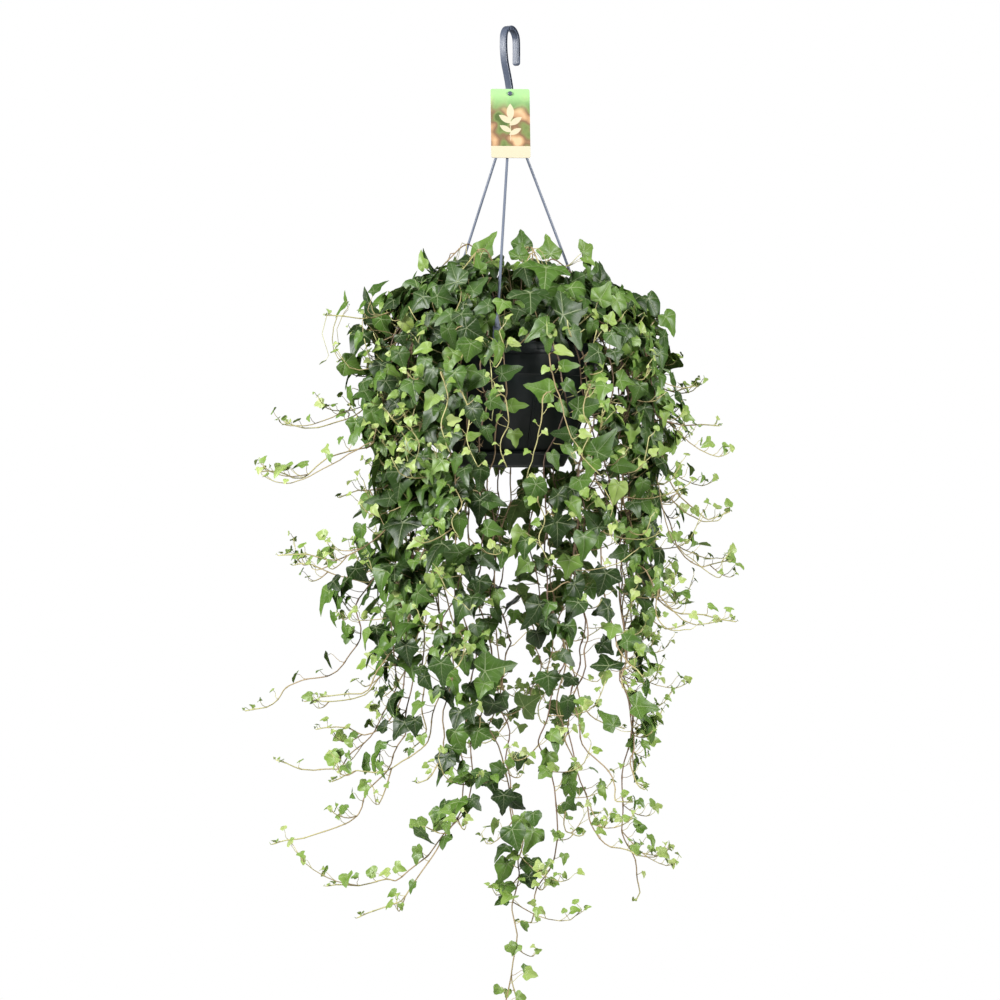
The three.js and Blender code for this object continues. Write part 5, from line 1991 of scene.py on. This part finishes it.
def clear_of_rods(leaf):
    """Moves a leaf aside from any rod that would run through its blade"""
    for angle in ROD_ANGLES.values():
        top, foot, down = rod_line(angle)
        centre = blade_centre(leaf)
        if centre[2] < foot[2]:
            continue
        away = centre - (top + down * (centre - top).dot(down))
        distance = np.linalg.norm(away)
        lacking = 0.5 * leaf.width + ROD_CLEARANCE - distance
        if lacking > 0:
            leaf.junction = leaf.junction + away / distance * lacking


print("blades stay", POT_CLEARANCE, "mm off the pot")

# %% Grow the vines
GROWTH_SEED = 7000


def place_leaf(growth, leaf, youth, draw):
    """Clears a leaf of the hard pieces and grows it, unless it would close an opening or hide a set leaf"""
    if in_opening(blade_centre(leaf), 0.22 * leaf.width) or hides_set_leaf(leaf):
        return
    if leaf.root[2] > RIM_Z or np.hypot(*leaf.root[:2]) > RIM_RADIUS:
        clear_of_pot(leaf)
    clear_of_rods(leaf)
    grow_leaf(growth, leaf, youth, draw)


def grow_vine(index):
    """Everything on one stem, in the order of its random draws"""
    course, leaves = courses[index], leaf_lists[index]
    draw = random_stream(GROWTH_SEED + index)
    growth = Growth()
    grow_stem(growth, course, leaves, draw())
    for leaf, after in zip(leaves, leaves[1:] + leaves[-1:]):
        root = stem_point(course, leaf.place)
        leaf.junction = leaf.junction + root - leaf.root
        leaf.root = root
        chance = SHOOT_CHANCE * lerp(0.1, 1, clamp(leaf.grown / STANDING))
        if draw() < chance and root[2] < CROWN_FOOT + 25 and not in_opening(root, 8):
            grow_shoot(growth, root, leaf, draw)
        if carries_rootlets(root) and draw() < ROOTLETS["chance"]:
            grow_rootlets(growth, root, draw)
        for _ in range(count_between(leaf)):
            between = leaf_between(course, leaf, after, draw)
            if not before_pot(between.junction, CLEAR_FRONT):
                place_leaf(growth, between, clamp(0.85 - 1.05 * between.grown + 0.25 * draw()), draw)
        turn_leaf(leaf, draw)
        leaf.junction[2] = min(leaf.junction[2], dome_height(leaf.junction))
        if leaf.grown < 0.3 and draw() < YOUNG_SKIPPED:
            continue
        place_leaf(growth, leaf, clamp(0.85 - 1.05 * leaf.grown + 0.35 * draw() ** 3), draw)
    for _ in range(CROWN_LEAVES):
        leaf = crown_leaf(course, draw)
        place_leaf(growth, leaf, CROWN_YOUTH[leaf.width < SMALL_CROWN_LEAF] * draw() ** 3, draw)
    grow_tip(growth, course, draw)
    for carrier, leaf in set_leaves:
        if carrier == index:
            grow_leaf(growth, leaf, 1 - leaf.grown, draw)
    for carrier, *shoot in set_shoots:
        if carrier == index:
            grow_set_shoot(growth, *shoot, draw)
    blade_widths.extend(growth.widths)
    return growth.make_piece(f"ivy_{index + 1:02d}", (leaf_upper, leaf_under, ivy_bark))


vine_faces, blade_widths = [], []
for index in range(vine_count):
    vine = grow_vine(index)
    dress(vine, "ivy", f"vine_{index + 1:02d}")
    vine_faces.append(len(vine.data.polygons))
print(f"the plant has {sum(vine_faces)} triangles, at most {max(vine_faces)} a vine")
print(f"{len(blade_widths)} leaves, {sum(width > FINE_WIDTH for width in blade_widths)} of them fine")

# %% [markdown]
# ## Floor and light
# The photograph was lit by large soft sources in front of a white wall. The world is white where the camera
# sees it, but lights the room only faintly, so the depths between the leaves stay dark. One broad lamp from
# the left adds the sheen on the leaves and some direction, and a weaker one opens the shadows on the right.
# A faint one from above and one from behind, which shines through thin leaves, complete them. The pot hangs
# well above a pale floor.

# %% Floor
FLOOR_HEIGHT = -2.3
FLOOR_RADIUS = 3.0


def make_floor():
    recipe = Recipe("pale_floor")
    mottle = recipe.noise(3)
    tone = recipe.mix(mottle, colour(208, 208, 206), colour(216, 216, 215))
    finish = recipe.finish(tone, 0.8)
    points, faces = turned([[0, 0], [FLOOR_RADIUS / MM, 0]], 96)
    floor = new_piece("floor", points + [0, 0, FLOOR_HEIGHT / MM], faces, finish)
    if floor.data.polygons[0].normal.z < 0:
        floor.data.flip_normals()


make_floor()
print(f"floor {-FLOOR_HEIGHT:.1f} m below the hook")

# %% Light
WALL_BRIGHTNESS = 1.0
ROOM_LIGHT = 0.03


def make_light(name, place, size, power, aim_height):
    """A square lamp at a place in metres, aimed at a height on the pot's axis"""
    lamp = bpy.data.lights.new(name, "AREA")
    lamp.size = size
    lamp.energy = power
    light = put_in_scene(name, lamp)
    light.location = place
    towards = Vector((0, 0, aim_height)) - light.location
    light.rotation_euler = towards.to_track_quat("-Z", "Y").to_euler()


def make_studio():
    """White walls behind the plant from every side, and a softer even light in the room"""
    world = bpy.data.worlds.new("white_studio")
    world.use_nodes = True
    nodes, links = world.node_tree.nodes, world.node_tree.links
    seen = nodes.new("ShaderNodeLightPath").outputs["Is Camera Ray"]
    strength = nodes.new("ShaderNodeMapRange")
    strength.inputs["To Min"].default_value = ROOM_LIGHT
    strength.inputs["To Max"].default_value = WALL_BRIGHTNESS
    links.new(seen, strength.inputs["Value"])
    background = nodes["Background"]
    background.inputs["Color"].default_value = (1, 1, 1, 1)
    links.new(strength.outputs["Result"], background.inputs["Strength"])
    bpy.context.scene.world = world


make_studio()
make_light("key", (-2.2, -1.6, 0.35), 1.1, 142, -0.35)
make_light("fill", (2.2, -1.5, 0.15), 1.2, 98, -0.35)
make_light("top", (-0.2, -0.8, 1.4), 1.6, 10, -0.55)
make_light("back", (0.3, 2.6, 0.3), 2.2, 34, -0.55)
bpy.context.scene.view_settings.view_transform = "Standard"
print("walls", WALL_BRIGHTNESS, "room", ROOM_LIGHT)
